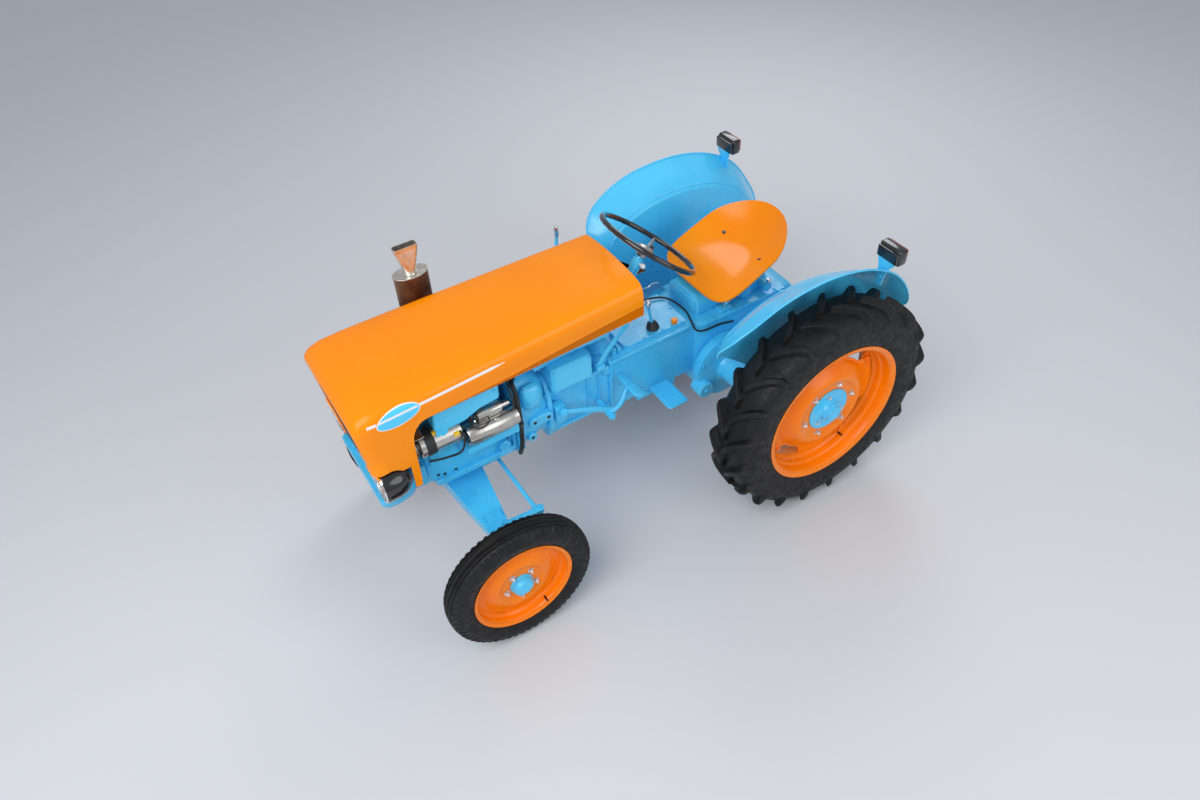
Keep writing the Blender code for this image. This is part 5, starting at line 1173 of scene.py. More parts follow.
    # side rail and bolts beside the lid, and pads under the box
    for side in (1, -1):
        inner, outer = sorted((side * 0.108, side * 0.1285))
        box.block((inner, -0.735, 0.772), (outer, -0.345, 0.7865), 0.004)
        box.bolts([(side * 0.1275, y, 0.779) for y in (-0.700, -0.600, -0.500, -0.400)], (side, 0, 0), 0.0058, 0.004)
        box.block((inner - 0.004, -0.615, 0.500), (outer - 0.004, -0.425, 0.528), 0.006)
    box.make("gearbox_casting", paint["blueCasting"], "chassis", "blue_paint", 32, ("gearbox_housing",))
    hose = Shell().tube(smoothPath(((-0.104, -0.520, 0.812), (-0.096, -0.450, 0.814), (-0.076, -0.378, 0.812), (-0.040, -0.338, 0.806), (0.040, -0.322, 0.797),
                                    (0.120, -0.345, 0.797), (0.156, -0.352, 0.788), (0.158, -0.320, 0.766), (0.156, -0.270, 0.758), (0.156, -0.225, 0.756), (0.158, -0.160, 0.742)), 70), 0.0042, 10, (0.2, 0.1, 1))
    hose.make("lift_hose", paint["cableBlack"], "chassis", "cable_rubber", 50)
    cap = Shell().turned(((0, 0.011), (0.008, 0.011), (0.010, 0.014), (0.017, 0.014), (0.020, 0.010)), (0, 0, 1), (0.086, -0.408, 0.8015), 24)
    cap.make("filler_cap", paint["orangeEnamel"], "chassis", "orange_paint", 35)

    rear = Shell()
    rear.rings([boxSection(*a) for a in ((-0.3300, 0.132, 0.470, 0.7880, 0.03), (-0.3180, 0.138, 0.450, 0.7865, 0.03), (-0.280, 0.149, 0.395, 0.7865, 0.03),
                                         (-0.240, 0.1497, 0.372, 0.7865, 0.03), (0.100, 0.1497, 0.372, 0.7865, 0.03), (0.150, 0.146, 0.380, 0.786, 0.03),
                                         (0.1690, 0.138, 0.392, 0.776, 0.03))])
    plate = smoothCorners(np.array(((-0.115, 0.42), (0.115, 0.42), (0.115, 0.74), (-0.115, 0.74))), 0.03)
    rear.prism(plate, "Y", 0.1670, 0.1820, 0.003)
    rear.bolts([(x, 0.1820, z) for x in (-0.098, 0.098) for z in (0.44, 0.52, 0.64, 0.72)], (0, 1, 0), 0.0070, 0.006)
    rear.turned(((0, 0.048), (0.016, 0.048), (0.020, 0.040), (0.048, 0.036), (0.050, 0.024)), (0, 1, 0), (0, 0.180, 0.585), 40)
    rear.block((-0.152, -0.300, 0.772), (0.152, 0.120, 0.7900), 0.004)
    # lift housing: a block with a rounded shoulder, ports and a bolted cover
    profile = smoothCorners(np.array(((-0.105, 0.7850), (0.095, 0.7850), (0.095, 0.842), (0.068, 0.8715), (-0.080, 0.8715), (-0.105, 0.846))), 0.018, 5)
    rear.prism(profile, "Y", -0.300, 0.060, 0.006)
    rear.block((-0.090, -0.308, 0.800), (0.082, -0.296, 0.862), 0.006)
    rear.turned(((0, 0.036), (0.014, 0.036), (0.019, 0.028), (0.034, 0.024), (0.036, 0.016)), (1, 0, 0), (0.092, -0.070, 0.828), 36)
    rear.bolts(circlePlaces((0.106, -0.070, 0.828), 0.030, (1, 0, 0), 4, 45), (1, 0, 0), 0.005, 0.004)
    rear.turned(((0, 0.020), (0.055, 0.020), (0.058, 0.014)), (1, 0, 0), (0.085, 0.030, 0.822), 24)
    rear.bolts([(x, y, 0.8715) for x in (-0.070, 0.055) for y in (-0.280, -0.200, 0.035)], (0, 0, 1), 0.0062, 0.005)
    rear.block((0.100, -0.215, 0.7885), (0.140, -0.150, 0.808), 0.006)
    rear.bolts(((0.120, -0.200, 0.808), (0.120, -0.165, 0.808)), (0, 0, 1), 0.0058, 0.005)
    rear.make("rear_casting", paint["blueCasting"], "chassis", "blue_paint", 32, ("rear_housing", "lift_housing"))

    y, z = s["casing"]
    R = s["casingRadius"]
    for side, name in ((1, "left"), (-1, "right")):
        casing = Shell()
        # swelling drum that grows out of the housing, then its flanged cover
        casing.turned(((0.1503, 0.135), (0.158, 0.146), (0.168, R - 0.003), (0.176, R), (0.190, R), (0.1925, R - 0.004)),
                      (side, 0, 0), (0, y, z), 72)
        casing.turned(((0.1915, R - 0.006), (0.1930, R - 0.001), (0.204, R - 0.002), (0.2075, R - 0.010), (0.2145, R - 0.040),
                       (0.2150, 0.078), (0.222, 0.066), (0.240, 0.058), (0.300, s["stubRadius"]), (0.322, s["stubRadius"]), (0.329, 0.050)),
                      (side, 0, 0), (0, y, z), 72)
        casing.bolts(circlePlaces((side * 0.2060, y, z), R - 0.017, (side, 0, 0), 8, 22), (side, 0, 0), 0.0080, 0.007)
        casing.turned(((0.326, 0.030), (0.3300, 0.030)), (side, 0, 0), (0, y, z), 36)
        # trumpet from the housing to the wheel, its neck flared both ways
        casing.turned(((0.1503, 0.098), (0.156, 0.098), (0.166, 0.086), (0.200, 0.0755), (0.260, 0.0735), (0.340, 0.0740), (0.3735, 0.075)),
                      (side, 0, 0), (0, 0, rearHub[2]), 64)
        casing.bolts(circlePlaces((side * 0.1555, 0, rearHub[2]), 0.090, (side, 0, 0), 6, 10), (side, 0, 0), 0.0065, 0.006)
        # web that ties the drum to the trumpet, with a rounded eye in front of the drum
        web = smoothCorners(np.array(((y + 0.03, z - 0.145), (-0.02, rearHub[2] - 0.066), (-0.02, rearHub[2] + 0.066), (y + 0.05, z + 0.140))), 0.02)
        casing.prism(web, "X", *sorted((side * 0.160, side * 0.205)), 0.006)
        casing.turned(((0.172, 0.034), (0.176, 0.038), (0.232, 0.038), (0.238, 0.032)), (side, 0, 0), (0, y - 0.128, z - 0.062), 36)
        casing.bolts(((side * 0.238, y - 0.128, z - 0.062),), (side, 0, 0), 0.0080, 0.006)
        casing.make("axle_casing_" + name + "_casting", paint["blueCasting"], "chassis", "blue_paint", 32, ("axle_casing_" + name,))


makeDriveline()
print("bell, gearbox, rear housing and axle casings built")


# ---- front axle: carrier casting, folded beam, knuckles and steering links ----
axle = {"beamTop": 0.500, "beamDepth": 0.055, "kingpin": (0.400, -1.405), "kingRadius": 0.018, "tieZ": 0.470, "tieRadius": 0.011}


def makeFrontAxle():
    s = axle
    carrier = Shell()
    # tapered nose casting: outline seen from above, drawn in towards its lower edge
    top = np.array(((-0.200, -1.756), (0.200, -1.756), (0.204, -1.700), (0.190, -1.640), (0.150, -1.600), (0.150, -1.562), (-0.150, -1.562),
                    (-0.150, -1.600), (-0.190, -1.640), (-0.204, -1.700)))
    outline = smoothCorners(top, 0.014)
    rings = []
    for z, shrink in ((0.628, 0.90), (0.634, 0.93), (0.660, 0.975), (0.684, 0.995), (0.690, 0.985)):
        ring = outline.copy()
        ring[:, 0] *= shrink
        ring[:, 1] = -1.562 + (ring[:, 1] + 1.562) * (0.55 + 0.45 * shrink if z > 0.65 else 0.90)
        rings.append(np.stack((ring[:, 0], ring[:, 1], np.full(len(ring), z)), -1))
    carrier.rings(rings)
    carrier.block((-0.130, -1.600, 0.604), (0.130, -1.5615, 0.740), 0.008)
    for side in (1, -1):
        ear = smoothCorners(np.array(((-1.745, 0.680), (-1.700, 0.680), (-1.708, 0.724), (-1.722, 0.736), (-1.736, 0.724))), 0.006)
        carrier.prism(ear, "X", *sorted((side * 0.099, side * 0.1105)), 0.001)
        lug = smoothCorners(np.array(((-1.620, 0.640), (-1.562, 0.640), (-1.562, 0.735), (-1.590, 0.735), (-1.615, 0.700))), 0.008)
        carrier.prism(lug, "X", *sorted((side * 0.128, side * 0.165)), 0.003)
        carrier.bolts(((side * 0.165, -1.590, 0.715), (side * 0.165, -1.590, 0.665)), (side, 0, 0), 0.0085, 0.008)
        carrier.bolts(((side * 0.182, -1.685, 0.690), (side * 0.178, -1.645, 0.690), (side * 0.150, -1.735, 0.690)), (0, 0, 1), 0.0085, 0.007)
    # pivot bracket under the crankcase
    bracket = smoothCorners(np.array(((-0.062, 0.559), (0.062, 0.559), (0.045, 0.512), (-0.045, 0.512))), 0.008)
    carrier.prism(bracket, "Y", -1.470, -1.330, 0.003)
    carrier.make("front_carrier", paint["blueCasting"], "chassis", "blue_paint", 32, ("front_support",))

    beam = Shell()
    # top plate: broad at the pivot and narrowing to each end, with folded edges beneath
    x = np.linspace(-0.392, 0.392, 41)
    taper = np.abs(x) / 0.392
    front, back = -1.480 + 0.034 * taper ** 1.2, -1.310 - 0.055 * taper ** 1.1
    plate = np.concatenate((np.stack((x, front), -1), np.stack((x[::-1], back[::-1]), -1)))
    beam.prism(plate, "Z", s["beamTop"] - 0.009, s["beamTop"] - 0.0005, 0.001)
    for edge, inset in ((front, 0.0055), (back, -0.0055)):
        ring = np.array(((-1, 0), (1, 0), (1, 1), (-1, 1)))
        drop = s["beamDepth"] * (1 - 0.42 * taper ** 2)
        rings = np.stack((np.broadcast_to(x[:, None], (41, 4)), (edge + inset)[:, None] + 0.0045 * ring[:, 0],
                          s["beamTop"] - 0.002 - drop[:, None] * (1 - ring[:, 1])), -1)
        beam.rings(rings)
    beam.prism(smoothCorners(np.array(((-0.060, -1.474), (0.060, -1.474), (0.048, -1.322), (-0.048, -1.322))), 0.012), "Z", 0.452, 0.5125, 0.003)
    for side in (1, -1):
        kx = side * s["kingpin"][0]
        beam.lathe(((0.438, 0.0195), (0.438, 0.031), (0.442, 0.034), (0.496, 0.034), (0.500, 0.031), (0.500, 0.0195)), (0, 0, 1), (kx, s["kingpin"][1], 0), 40)
        inner, outer = sorted((side * 0.306, side * 0.352))
        beam.block((inner, -1.452, 0.4985), (outer, -1.360, 0.5035), 0.002)
        beam.bolts([(side * a, b, 0.5035) for a in (0.318, 0.338) for b in (-1.440, -1.372)], (0, 0, 1), 0.0068, 0.006)
    beam.make("front_beam", paint["blueCasting"], "chassis", "blue_paint", 32, ("front_axle_beam",))

    for side, name in ((1, "left"), (-1, "right")):
        kx, ky = side * s["kingpin"][0], s["kingpin"][1]
        knuckle = Shell()
        knuckle.turned(((0.292, 0.018), (0.296, 0.024), (0.428, 0.024), (0.4365, 0.0215), (0.4370, s["kingRadius"]), (0.5060, s["kingRadius"]),
                        (0.5065, 0.026), (0.5195, 0.026), (0.5205, 0.012), (0.528, 0.010)), (0, 0, 1), (kx, ky, 0), 40)
        knuckle.bolts(((kx, ky, 0.5205),), (0, 0, 1), 0.0105, 0.010)
        inner, outer = sorted((kx + side * 0.010, kx + side * 0.056))
        knuckle.turned(((0.0, 0.026), (0.012, 0.026), (0.022, 0.0205), (0.062, 0.0200), (0.064, 0.017)), (side, 0, 0), (kx, ky, frontHub[2]), 36)
        # steering arm swept back from the kingpin to the rod's ball
        path = smoothPath(((kx, ky, 0.5130), (kx, ky + 0.080, 0.5130), (kx, ky + 0.160, 0.5130)), 20)
        knuckle.tube(path, np.linspace(0.0195, 0.0130, 20), 14, (0, 0, 1), 0.36)
        knuckle.turned(((0.500, 0.012), (0.502, 0.0165), (0.518, 0.0165), (0.520, 0.012)), (0, 0, 1), (kx, ky + 0.165, 0), 28)
        knuckle.turned(((0.4795, 0.0100), (0.500, 0.0065), (0.518, 0.0065)), (0, 0, 1), (kx, ky + 0.165, 0), 20)
        knuckle.bolts(((kx, ky + 0.165, 0.5195),), (0, 0, 1), 0.0075, 0.007)
        knuckle.make("knuckle_" + name + "_forging", paint["blueCasting"], "knuckle_" + name, "blue_paint", 32, ("knuckle_" + name,))


makeFrontAxle()
print("front axle built")


# ---- fittings: exhaust, tanks, column, levers, pedals, foot plates, links and hitch ----
def makeExhaust():
    cx, cy, low, high = -0.312, -1.318, 0.960, 1.205
    turn = np.linspace(0, math.tau, 72, endpoint=False)
    oval = np.stack((np.cos(turn), np.sin(turn)), -1)

    def ovalRings(steps):
        # (height, half x, half y) at each step, carried round an ellipse
        return [np.column_stack((cx + oval[:, 0] * a, cy + oval[:, 1] * b, np.full(72, z))) for z, a, b in steps]
    can = Shell().rings(ovalRings(((low, 0.030, 0.055), (low + 0.002, 0.0425, 0.0685), (low + 0.010, 0.0425, 0.0685), (low + 0.012, 0.0410, 0.067),
                                   (high - 0.012, 0.0410, 0.067), (high - 0.010, 0.0425, 0.0685), (high - 0.004, 0.0428, 0.0690))))
    pipe = smoothPath(((cx, cy, low + 0.004), (cx, cy, 0.930), (cx + 0.010, cy, 0.905), (cx + 0.045, cy, 0.893), (-0.180, cy, 0.893), (-0.1165, cy, 0.893)), 50)
    can.tube(pipe, 0.0215, 24, (0, 1, 0))
    can.turned(((0, 0.026), (0.003, 0.032), (0.009, 0.032), (0.012, 0.026)), (1, 0, 0), (-0.132, cy, 0.893), 32)
    can.make("exhaust_can", paint["burntSteel"], "chassis", "exhaust_steel", 40, ("exhaust_muffler",))
    top = Shell().rings(ovalRings(((high - 0.0045, 0.0415, 0.068), (high - 0.001, 0.0438, 0.0698), (high, 0.0425, 0.0685), (high + 0.0005, 0.030, 0.05))))
    top.lathe(((1.2050, 0.0200), (1.2050, 0.0270), (1.2085, 0.0285), (1.2120, 0.0265), (1.2120, 0.0200)), (0, 0, 1), (cx, cy, 0), 40)
    # fishtail: round at the weld, widening to an open slot and drawn flat; outer and inner skins
    level = np.linspace(1.206, 1.3175, 20)
    t = (level - 1.206) / 0.1115
    ease = np.clip(t * 1.15, 0, 1) ** 1.3
    a, b = 0.0225 * (1 - ease) + 0.017 * ease, 0.0225 * (1 - ease) + 0.046 * ease
    power = 2 + 5 * ease
    c, d = np.cos(turn), np.sin(turn)
    reach = (np.abs(c)[None] ** power[:, None] + np.abs(d)[None] ** power[:, None]) ** (-1 / power[:, None])

    def skin(inset):
        x = cx + (a[:, None] - inset) * reach * c - 0.006 * ease[:, None]
        return np.stack((x, cy + (b[:, None] - inset) * reach * d, np.broadcast_to(level[:, None], x.shape)), -1)
    top.rings(np.concatenate((skin(0.0), skin(0.0025)[::-1])))
    top.make("exhaust_outlet", paint["paleSteel"], "chassis", "bare_steel", 35)


def makeTanks():
    side = Shell()
    # pressed tank: rounded panel with a raised border and a cap flange on top
    outline = smoothCorners(np.array(((-1.020, 0.792), (-0.842, 0.792), (-0.842, 0.894), (-0.862, 0.909), (-1.020, 0.909))), 0.014, 5)
    side.prism(outline, "X", 0.060, 0.1625, 0.008)
    mid = outline.mean(0)
    side.prism(mid + (outline - mid) * (0.86, 0.78), "X", 0.150, 0.1648, 0.003)
    side.block((0.070, -1.018, 0.906), (0.158, -0.850, 0.9095), 0.0012)
    side.bolts([(0.1630, y, z) for y in (-1.008, -0.854) for z in (0.802, 0.898)], (1, 0, 0), 0.0045, 0.003)
    # flat strut from the box to the hood's rear edge, its head turned over
    strut = np.array(((0.128, -0.795, 0.800), (0.130, -0.760, 0.848), (0.131, -0.700, 0.914), (0.131, -0.658, 0.952)))
    side.tube(smoothPath(strut, 24), 0.0130, 14, (1, 0, 0), 0.28)
    side.block((0.112, -0.812, 0.786), (0.146, -0.775, 0.806), 0.004)
    # struts from the bell's ledge forward, below the hood's edge
    side.tube(smoothPath(((0.118, -1.070, 0.910), (0.118, -1.000, 0.918), (0.115, -0.930, 0.922)), 12), 0.009, 12, (1, 0, 0), 0.4)
    side.make("side_tank_panel", paint["blueEnamel"], "chassis", "blue_paint", 35, ("side_tank",))
    tip = Shell().turned(((0, 0.008), (0.012, 0.008), (0.014, 0.0105), (0.026, 0.0105), (0.030, 0.006)), (0, 0.45, 0.89), (0.131, -0.657, 0.950), 20)
    tip.make("strut_tip", paint["brightChrome"], "chassis", "bright_chrome", 35)
    fuel = Shell()
    body = smoothCorners(np.array(((-0.148, 0.932), (0.148, 0.932), (0.148, 1.085), (0.118, 1.112), (-0.118, 1.112), (-0.148, 1.085))), 0.03, 5)
    fuel.prism(body, "Y", -1.166, -0.742, 0.012)
    for y in (-1.080, -0.955, -0.830):
        fuel.prism(body.mean(0) + (body - body.mean(0)) * 1.010, "Y", y - 0.010, y + 0.010, 0.002)
    fuel.block((-0.080, -1.160, 0.9253), (0.080, -1.020, 0.936), 0.003)
    fuel.turned(((0, 0.030), (0.010, 0.030), (0.0125, 0.024)), (0, 0, 1), (0.0, -0.900, 1.1020), 32)
    fuel.make("fuel_tank_pressing", paint["blueEnamel"], "chassis", "blue_paint", 35, ("fuel_tank",))


def makeColumn():
    t = math.radians(steering["tilt"])
    axis, centre = np.array((0, math.sin(t), math.cos(t))), np.array(steering["centre"])
    column = Shell()
    column.turned(((-0.459, 0.010), (-0.455, 0.0195), (-0.400, 0.0195), (-0.396, 0.0180), (-0.110, 0.0180), (-0.106, 0.0215), (-0.066, 0.0215),
                   (-0.064, 0.0160), (-0.0585, 0.0160)), axis, centre, 36)
    column.lathe(((-0.300, 0.017), (-0.300, 0.0225), (-0.286, 0.0225), (-0.286, 0.017)), axis, centre, 36)
    foot = centre - 0.29 * axis
    column.block(foot + (-0.030, -0.006, -0.10), foot + (0.030, 0.006, -0.012), 0.004)
    # throttle rod beside the column
    column.tube(np.array([centre + k * axis + (0.026, 0.0, 0.0) for k in np.linspace(-0.40, -0.098, 8)]), 0.0035, 10, (1, 0, 0))
    column.make("steering_column_tube", paint["blueEnamel"], "chassis", "blue_paint", 35, ("steering_column",))
    # black quadrant under the wheel, laid out in the wheel's own plane and turned with it
    outline = smoothCorners(np.array(((-0.018, -0.012), (-0.018, 0.030), (-0.042, 0.098), (-0.108, 0.098), (-0.118, 0.050), (-0.080, 0.005))), 0.010)
    flat = Shell().prism(outline, "Z", -0.046, -0.041, 0.001).block((-0.078, 0.086, -0.041), (-0.064, 0.112, -0.020), 0.003)
    flat.tube(smoothPath(((-0.012, 0.010, -0.050), (-0.060, 0.050, -0.038), (-0.098, 0.082, -0.036)), 12), 0.0034, 10)
    plate = Shell().add(steeringPoint(np.concatenate(flat.points)), flat.faces)
    plate.make("throttle_plate", paint["blackGloss"], "chassis", "black_gloss", 35)
    knob = Shell().turned(((-0.006, 0.005), (-0.003, 0.0095), (0.006, 0.0105), (0.012, 0.008), (0.014, 0.003)), (0.9, -0.2, 0.3), steeringPoint((0.036, -0.002, -0.080)), 24)
    knob.turned(((-0.010, 0.0045), (0.026, 0.0045)), (0.9, -0.2, 0.3), steeringPoint((0.012, -0.001, -0.082)), 12)
    knob.make("throttle_knob", paint["whitePaint"], "chassis", "white_paint", 40)
    chrome = Shell().bolts((steeringPoint((-0.102, 0.060, -0.041)),), axis, 0.0065, 0.005)
    # bent rod along the gearbox's far side
    chrome.tube(smoothPath(((-0.128, -0.640, 0.790), (-0.168, -0.560, 0.792), (-0.196, -0.420, 0.788), (-0.200, -0.350, 0.768), (-0.200, -0.322, 0.778), (-0.198, -0.290, 0.772)), 40),
                0.0040, 10, (0, 0, 1))

    # gear lever: rubber boot, painted shaft, polished knob
    base, top = np.array((0.062, -0.497, 0.8022)), np.array((0.057, -0.517, 0.930))
    boot = Shell().turned(((0, 0.026), (0.003, 0.027), (0.010, 0.022), (0.014, 0.024), (0.019, 0.019), (0.023, 0.021), (0.034, 0.011)), top - base, base, 36)
    boot.make("gear_lever_boot", paint["blackSatin"], "chassis", "cable_rubber", 40)
    shaft = Shell().tube(np.array([base + (top - base) * k for k in (0.1, 0.4, 0.7, 0.88)]), (0.0075, 0.0065, 0.0058, 0.0055), 16, (1, 0, 0))
    shaft.make("gear_lever_shaft", paint["blueEnamel"], "chassis", "blue_paint", 40, ("gear_lever",))
    chrome.turned(((-0.022, 0.006), (-0.012, 0.0105), (-0.002, 0.0130), (0.008, 0.0125), (0.015, 0.0090), (0.018, 0.003)), top - base, top, 32)
    # hand lever at the far side, with a polished grip
    lever = Shell().tube(smoothPath(((-0.118, -0.645, 0.640), (-0.200, -0.648, 0.650), (-0.330, -0.652, 0.700), (-0.392, -0.656, 0.800), (-0.400, -0.662, 0.960), (-0.400, -0.658, 1.050)), 40),
                         0.0072, 12, (0, 1, 0))
    lever.turned(((0, 0.017), (0.018, 0.017), (0.021, 0.012)), (-1, 0, 0), (-0.1185, -0.645, 0.640), 24)
    lever.make("hand_lever", paint["blueEnamel"], "chassis", "blue_paint", 40)
    chrome.turned(((-0.005, 0.0075), (0.004, 0.0105), (0.040, 0.0100), (0.048, 0.0055)), (0, 0.05, 1), (-0.400, -0.6585, 1.048), 24)
    # small levers behind the seat's bracket
    for x, y, z in ((0.118, -0.182, 0.806), (0.126, 0.030, 0.822)):
        chrome.turned(((0, 0.006), (0.020, 0.006), (0.022, 0.010), (0.036, 0.010), (0.038, 0.005)), (0.3, 0.2, 0.9), (x, y, z), 20)
    chrome.make("lever_knobs", paint["brightChrome"], "chassis", "bright_chrome", 40)
    bracket = Shell()
    # leaf that carries the seat, bolted to the lift housing behind and bent up under the pan
    leaf = smoothPath(((0, 0.050, 0.877), (0, 0.100, 0.884), (0, 0.118, 0.905), (0, 0.085, 0.928), (0, 0.000, 0.936), (0, -0.120, 0.936)), 40)
    bracket.tube(leaf, 0.0045, 16, (1, 0, 0), 6.2)
    bracket.block((-0.045, 0.010, 0.8712), (0.045, 0.058, 0.8800), 0.003)
    bracket.bolts(((-0.03, 0.034, 0.880), (0.03, 0.034, 0.880)), (0, 0, 1), 0.006, 0.005)
    bracket.make("seat_leaf", paint["blueEnamel"], "chassis", "blue_paint", 35, ("seat_bracket",))


def makePedals():
    for side, name, node in ((1, "left", "clutch_pedal"), (-1, "right", "brake_pedal")):
        pedal = Shell()
        # cast pad lying across, tipped towards the driver, with a border and fine ribs
        centre, across = np.array((side * 0.188, -0.690, 0.690)), np.array((side * 0.96, 0.10, -0.26))
        back = np.array((0.0, 0.88, -0.47))
        across /= np.linalg.norm(across)
        square = np.cross(across, back) * side
        square /= np.linalg.norm(square)
        outline = smoothCorners(np.array(((-0.058, -0.026), (0.062, -0.030), (0.072, 0.0), (0.062, 0.030), (-0.058, 0.026))), 0.012)
        rings = [centre + outline[:, :1] * shrink * across + outline[:, 1:] * shrink * back + lift * square
                 for lift, shrink in ((-0.0065, 0.93), (-0.0045, 1.0), (0.0035, 1.0), (0.0050, 0.95))]
        pedal.rings(rings)
        for k in range(11):
            place = centre + across * (-0.050 + 0.0098 * k) + square * 0.0052
            pedal.tube(np.array([place + back * d for d in (-0.022, 0, 0.022)]), 0.0024, 8, square)
        pedal.tube(smoothPath((centre - square * 0.006, centre - square * 0.030, (side * 0.200, -0.745, 0.625), (side * 0.205, -0.800, 0.602)), 20), 0.0125, 14, (1, 0, 0), 0.7)
        inner, outer = sorted((side * 0.1215, side * 0.2250))
        pedal.tube(((inner, -0.800, 0.600), ((inner + outer) / 2, -0.800, 0.600), (outer, -0.800, 0.600)), 0.0150, 24)
        pedal.bolts(((side * 0.2250, -0.800, 0.600),), (side, 0, 0), 0.0095, 0.008)
        if side > 0:
            # cast arm that runs forward to the clutch linkage at the bell
            arm = smoothPath(((0.196, -0.792, 0.610), (0.194, -0.860, 0.652), (0.190, -0.960, 0.694), (0.188, -0.990, 0.704)), 24)
            pedal.tube(arm, np.linspace(0.015, 0.0105, 24), 16, (1, 0, 0), 0.6)
            pedal.turned(((0, 0.017), (0.003, 0.019), (0.024, 0.019), (0.027, 0.016)), (1, 0, 0), (0.168, -0.992, 0.704), 28)
            pedal.bolts(((0.195, -0.992, 0.704),), (1, 0, 0), 0.0085, 0.007)
            pedal.block((0.128, -1.018, 0.640), (0.172, -0.974, 0.722), 0.006)
        pedal.make(node + "_casting", paint["blueCasting"], "chassis", "blue_paint", 35, (node,))

        plate = Shell()
        outline = smoothCorners(np.array(((side * 0.1205, -0.558), (side * 0.262, -0.560), (side * 0.275, -0.552), (side * 0.275, -0.470), (side * 0.262, -0.462),
                                          (side * 0.1205, -0.464))), 0.012)
        plate.prism(outline, "Z", 0.5422, 0.5478, 0.0015)
        for k in range(6):
            y = -0.545 + 0.0135 * k
            plate.tube(smoothPath(((side * 0.140, y, 0.5475), (side * 0.205, y, 0.5480), (side * 0.262, y, 0.5475)), 8), 0.0036, 10)
        plate.block((min(side * 0.1205, side * 0.150), -0.545, 0.5305), (max(side * 0.1205, side * 0.150), -0.480, 0.5430), 0.003)
        plate.make("foot_plate_" + name + "_pressing", paint["blueEnamel"], "chassis", "blue_paint", 35, ("foot_plate_" + name,))


def makeLinks():
    for name in ("left", "right"):
        low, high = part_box("tie_rod_" + name)
        low, high = np.array(low) - rearAxle, np.array(high) - rearAxle
        y, z = (low[1] + high[1]) / 2, axle["tieZ"]
        r = axle["tieRadius"] - 0.0004
        span = high[0] - low[0]
        rod = Shell().turned(((0.001, r * 0.6), (0.003, r), (0.030, r), (0.034, r * 0.80), (0.060, r * 0.80), (0.061, r), (0.072, r), (0.073, r * 0.80),
                              (span - 0.073, r * 0.80), (span - 0.072, r), (span - 0.061, r), (span - 0.060, r * 0.80), (span - 0.034, r * 0.80),
                              (span - 0.030, r), (span - 0.003, r), (span - 0.001, r * 0.6)), (1, 0, 0), (low[0], y, z), 24)
        rod.make("tie_rod_" + name + "_link", paint["blueEnamel"], "tie_rod_" + name, "blue_paint", 35, ("tie_rod_" + name,))
    hitch = Shell()
    bar = smoothCorners(np.array(((-0.034, 0.176), (0.034, 0.176), (0.034, 0.295), (0.022, 0.328), (-0.022, 0.328), (-0.034, 0.295))), 0.014, 5)
    hitch.prism(bar, "Z", 0.4305, 0.4440, 0.002)
    hitch.prism(bar, "Z", 0.4610, 0.4745, 0.002)
    hitch.block((-0.034, 0.1705, 0.4300), (0.034, 0.196, 0.4750), 0.004)
    hitch.turned(((0.4240, 0.016), (0.4300, 0.016), (0.4310, 0.0105), (0.4800, 0.0105), (0.4810, 0.016), (0.4880, 0.014)), (0, 0, 1), (0, 0.300, 0), 28)
    hitch.make("tow_hitch_jaw", paint["blueCasting"], "chassis", "blue_paint", 35, ("tow_hitch",))


makeExhaust()
makeTanks()
makeColumn()
makePedals()
makeLinks()
print("exhaust, tanks, controls and links built")


# ---- studio: pale floor, soft lamps, and the camera ----
studio = {"floorSize": 40.0, "floorColour": (0.66, 0.67, 0.69), "worldStrength": 0.50, "worldColour": (0.86, 0.91, 1.0),
          "keyPower": 150, "keySize": 3.6, "fillPower": 45, "fillSize": 3.0, "rimPower": 60, "rimSize": 2.6}
cameraPlace = {"location": (2.4472, -1.4989, 3.2573), "azimuth": 59.93, "elevation": 44.61, "roll": -3.02, "lens": 28.14}


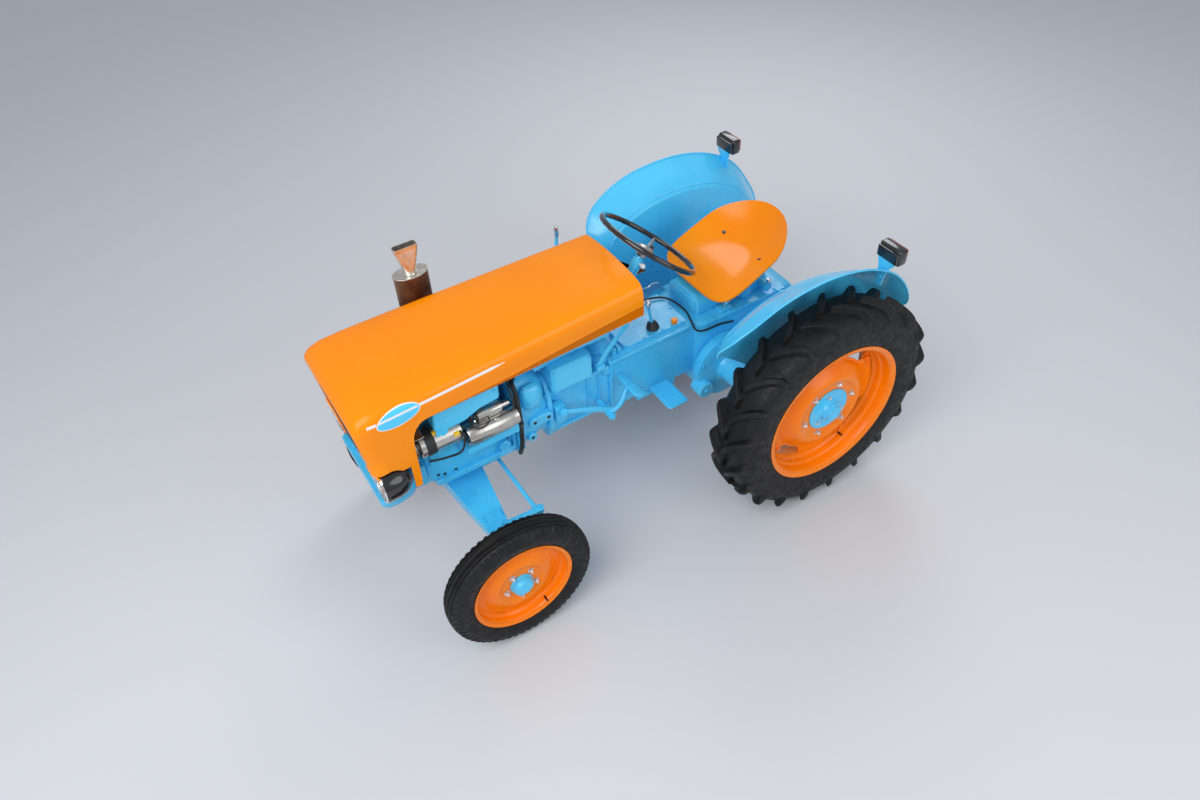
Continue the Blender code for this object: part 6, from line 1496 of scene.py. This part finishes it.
def makeFloor():
    half = studio["floorSize"] / 2
    mesh = bpy.data.meshes.new("studioFloor")
    mesh.from_pydata([(-half, -half, 0), (half, -half, 0), (half, half, 0), (-half, half, 0)], [], [(0, 1, 2, 3)])
    floor = bpy.data.objects.new("studioFloor", mesh)
    bpy.context.scene.collection.objects.link(floor)
    material = bpy.data.materials.new("paleFloor")
    material.use_nodes = True
    shader = material.node_tree.nodes["Principled BSDF"]
    shader.inputs["Base Color"].default_value = (*studio["floorColour"], 1)
    shader.inputs["Roughness"].default_value = 0.85
    mesh.materials.append(material)


def makeLamp(name, place, aim, power, size):
    data = bpy.data.lights.new(name, "AREA")
    data.shape, data.size, data.energy = "DISK", size, power
    lamp = bpy.data.objects.new(name, data)
    bpy.context.scene.collection.objects.link(lamp)
    lamp.location = place
    lamp.rotation_euler = (Vector(aim) - Vector(place)).to_track_quat("-Z", "Y").to_euler()


def makeWorld():
    world = bpy.data.worlds.new("studioWorld")
    bpy.context.scene.world = world
    world.use_nodes = True
    background = world.node_tree.nodes["Background"]
    background.inputs["Color"].default_value = (*studio["worldColour"], 1)
    background.inputs["Strength"].default_value = studio["worldStrength"]


def makeCamera():
    azimuth, elevation, roll = (math.radians(cameraPlace[k]) for k in ("azimuth", "elevation", "roll"))
    back = Vector((math.sin(azimuth) * math.cos(elevation), -math.cos(azimuth) * math.cos(elevation),
                   math.sin(elevation)))
    right = (-back).cross(Vector((0, 0, 1))).normalized()
    up = right.cross(-back)
    across = math.cos(roll) * right + math.sin(roll) * up
    above = -math.sin(roll) * right + math.cos(roll) * up
    camera = bpy.data.objects.new("camera", bpy.data.cameras.new("camera"))
    bpy.context.scene.collection.objects.link(camera)
    camera.data.lens = cameraPlace["lens"]
    matrix = Matrix((across, above, back)).transposed().to_4x4()
    matrix.translation = Vector(cameraPlace["location"])
    camera.matrix_world = matrix
    bpy.context.scene.camera = camera


makeFloor()
makeWorld()
makeLamp("keyLamp", (1.8, -3.2, 4.2), (0, 0, 0.6), studio["keyPower"], studio["keySize"])
makeLamp("fillLamp", (4.0, 1.4, 2.6), (0, 0, 0.6), studio["fillPower"], studio["fillSize"])
makeLamp("rimLamp", (-2.6, 3.0, 3.8), (0, 0, 0.7), studio["rimPower"], studio["rimSize"])
makeCamera()
bpy.context.scene.view_settings.view_transform = "Standard"
print("studio and camera set")
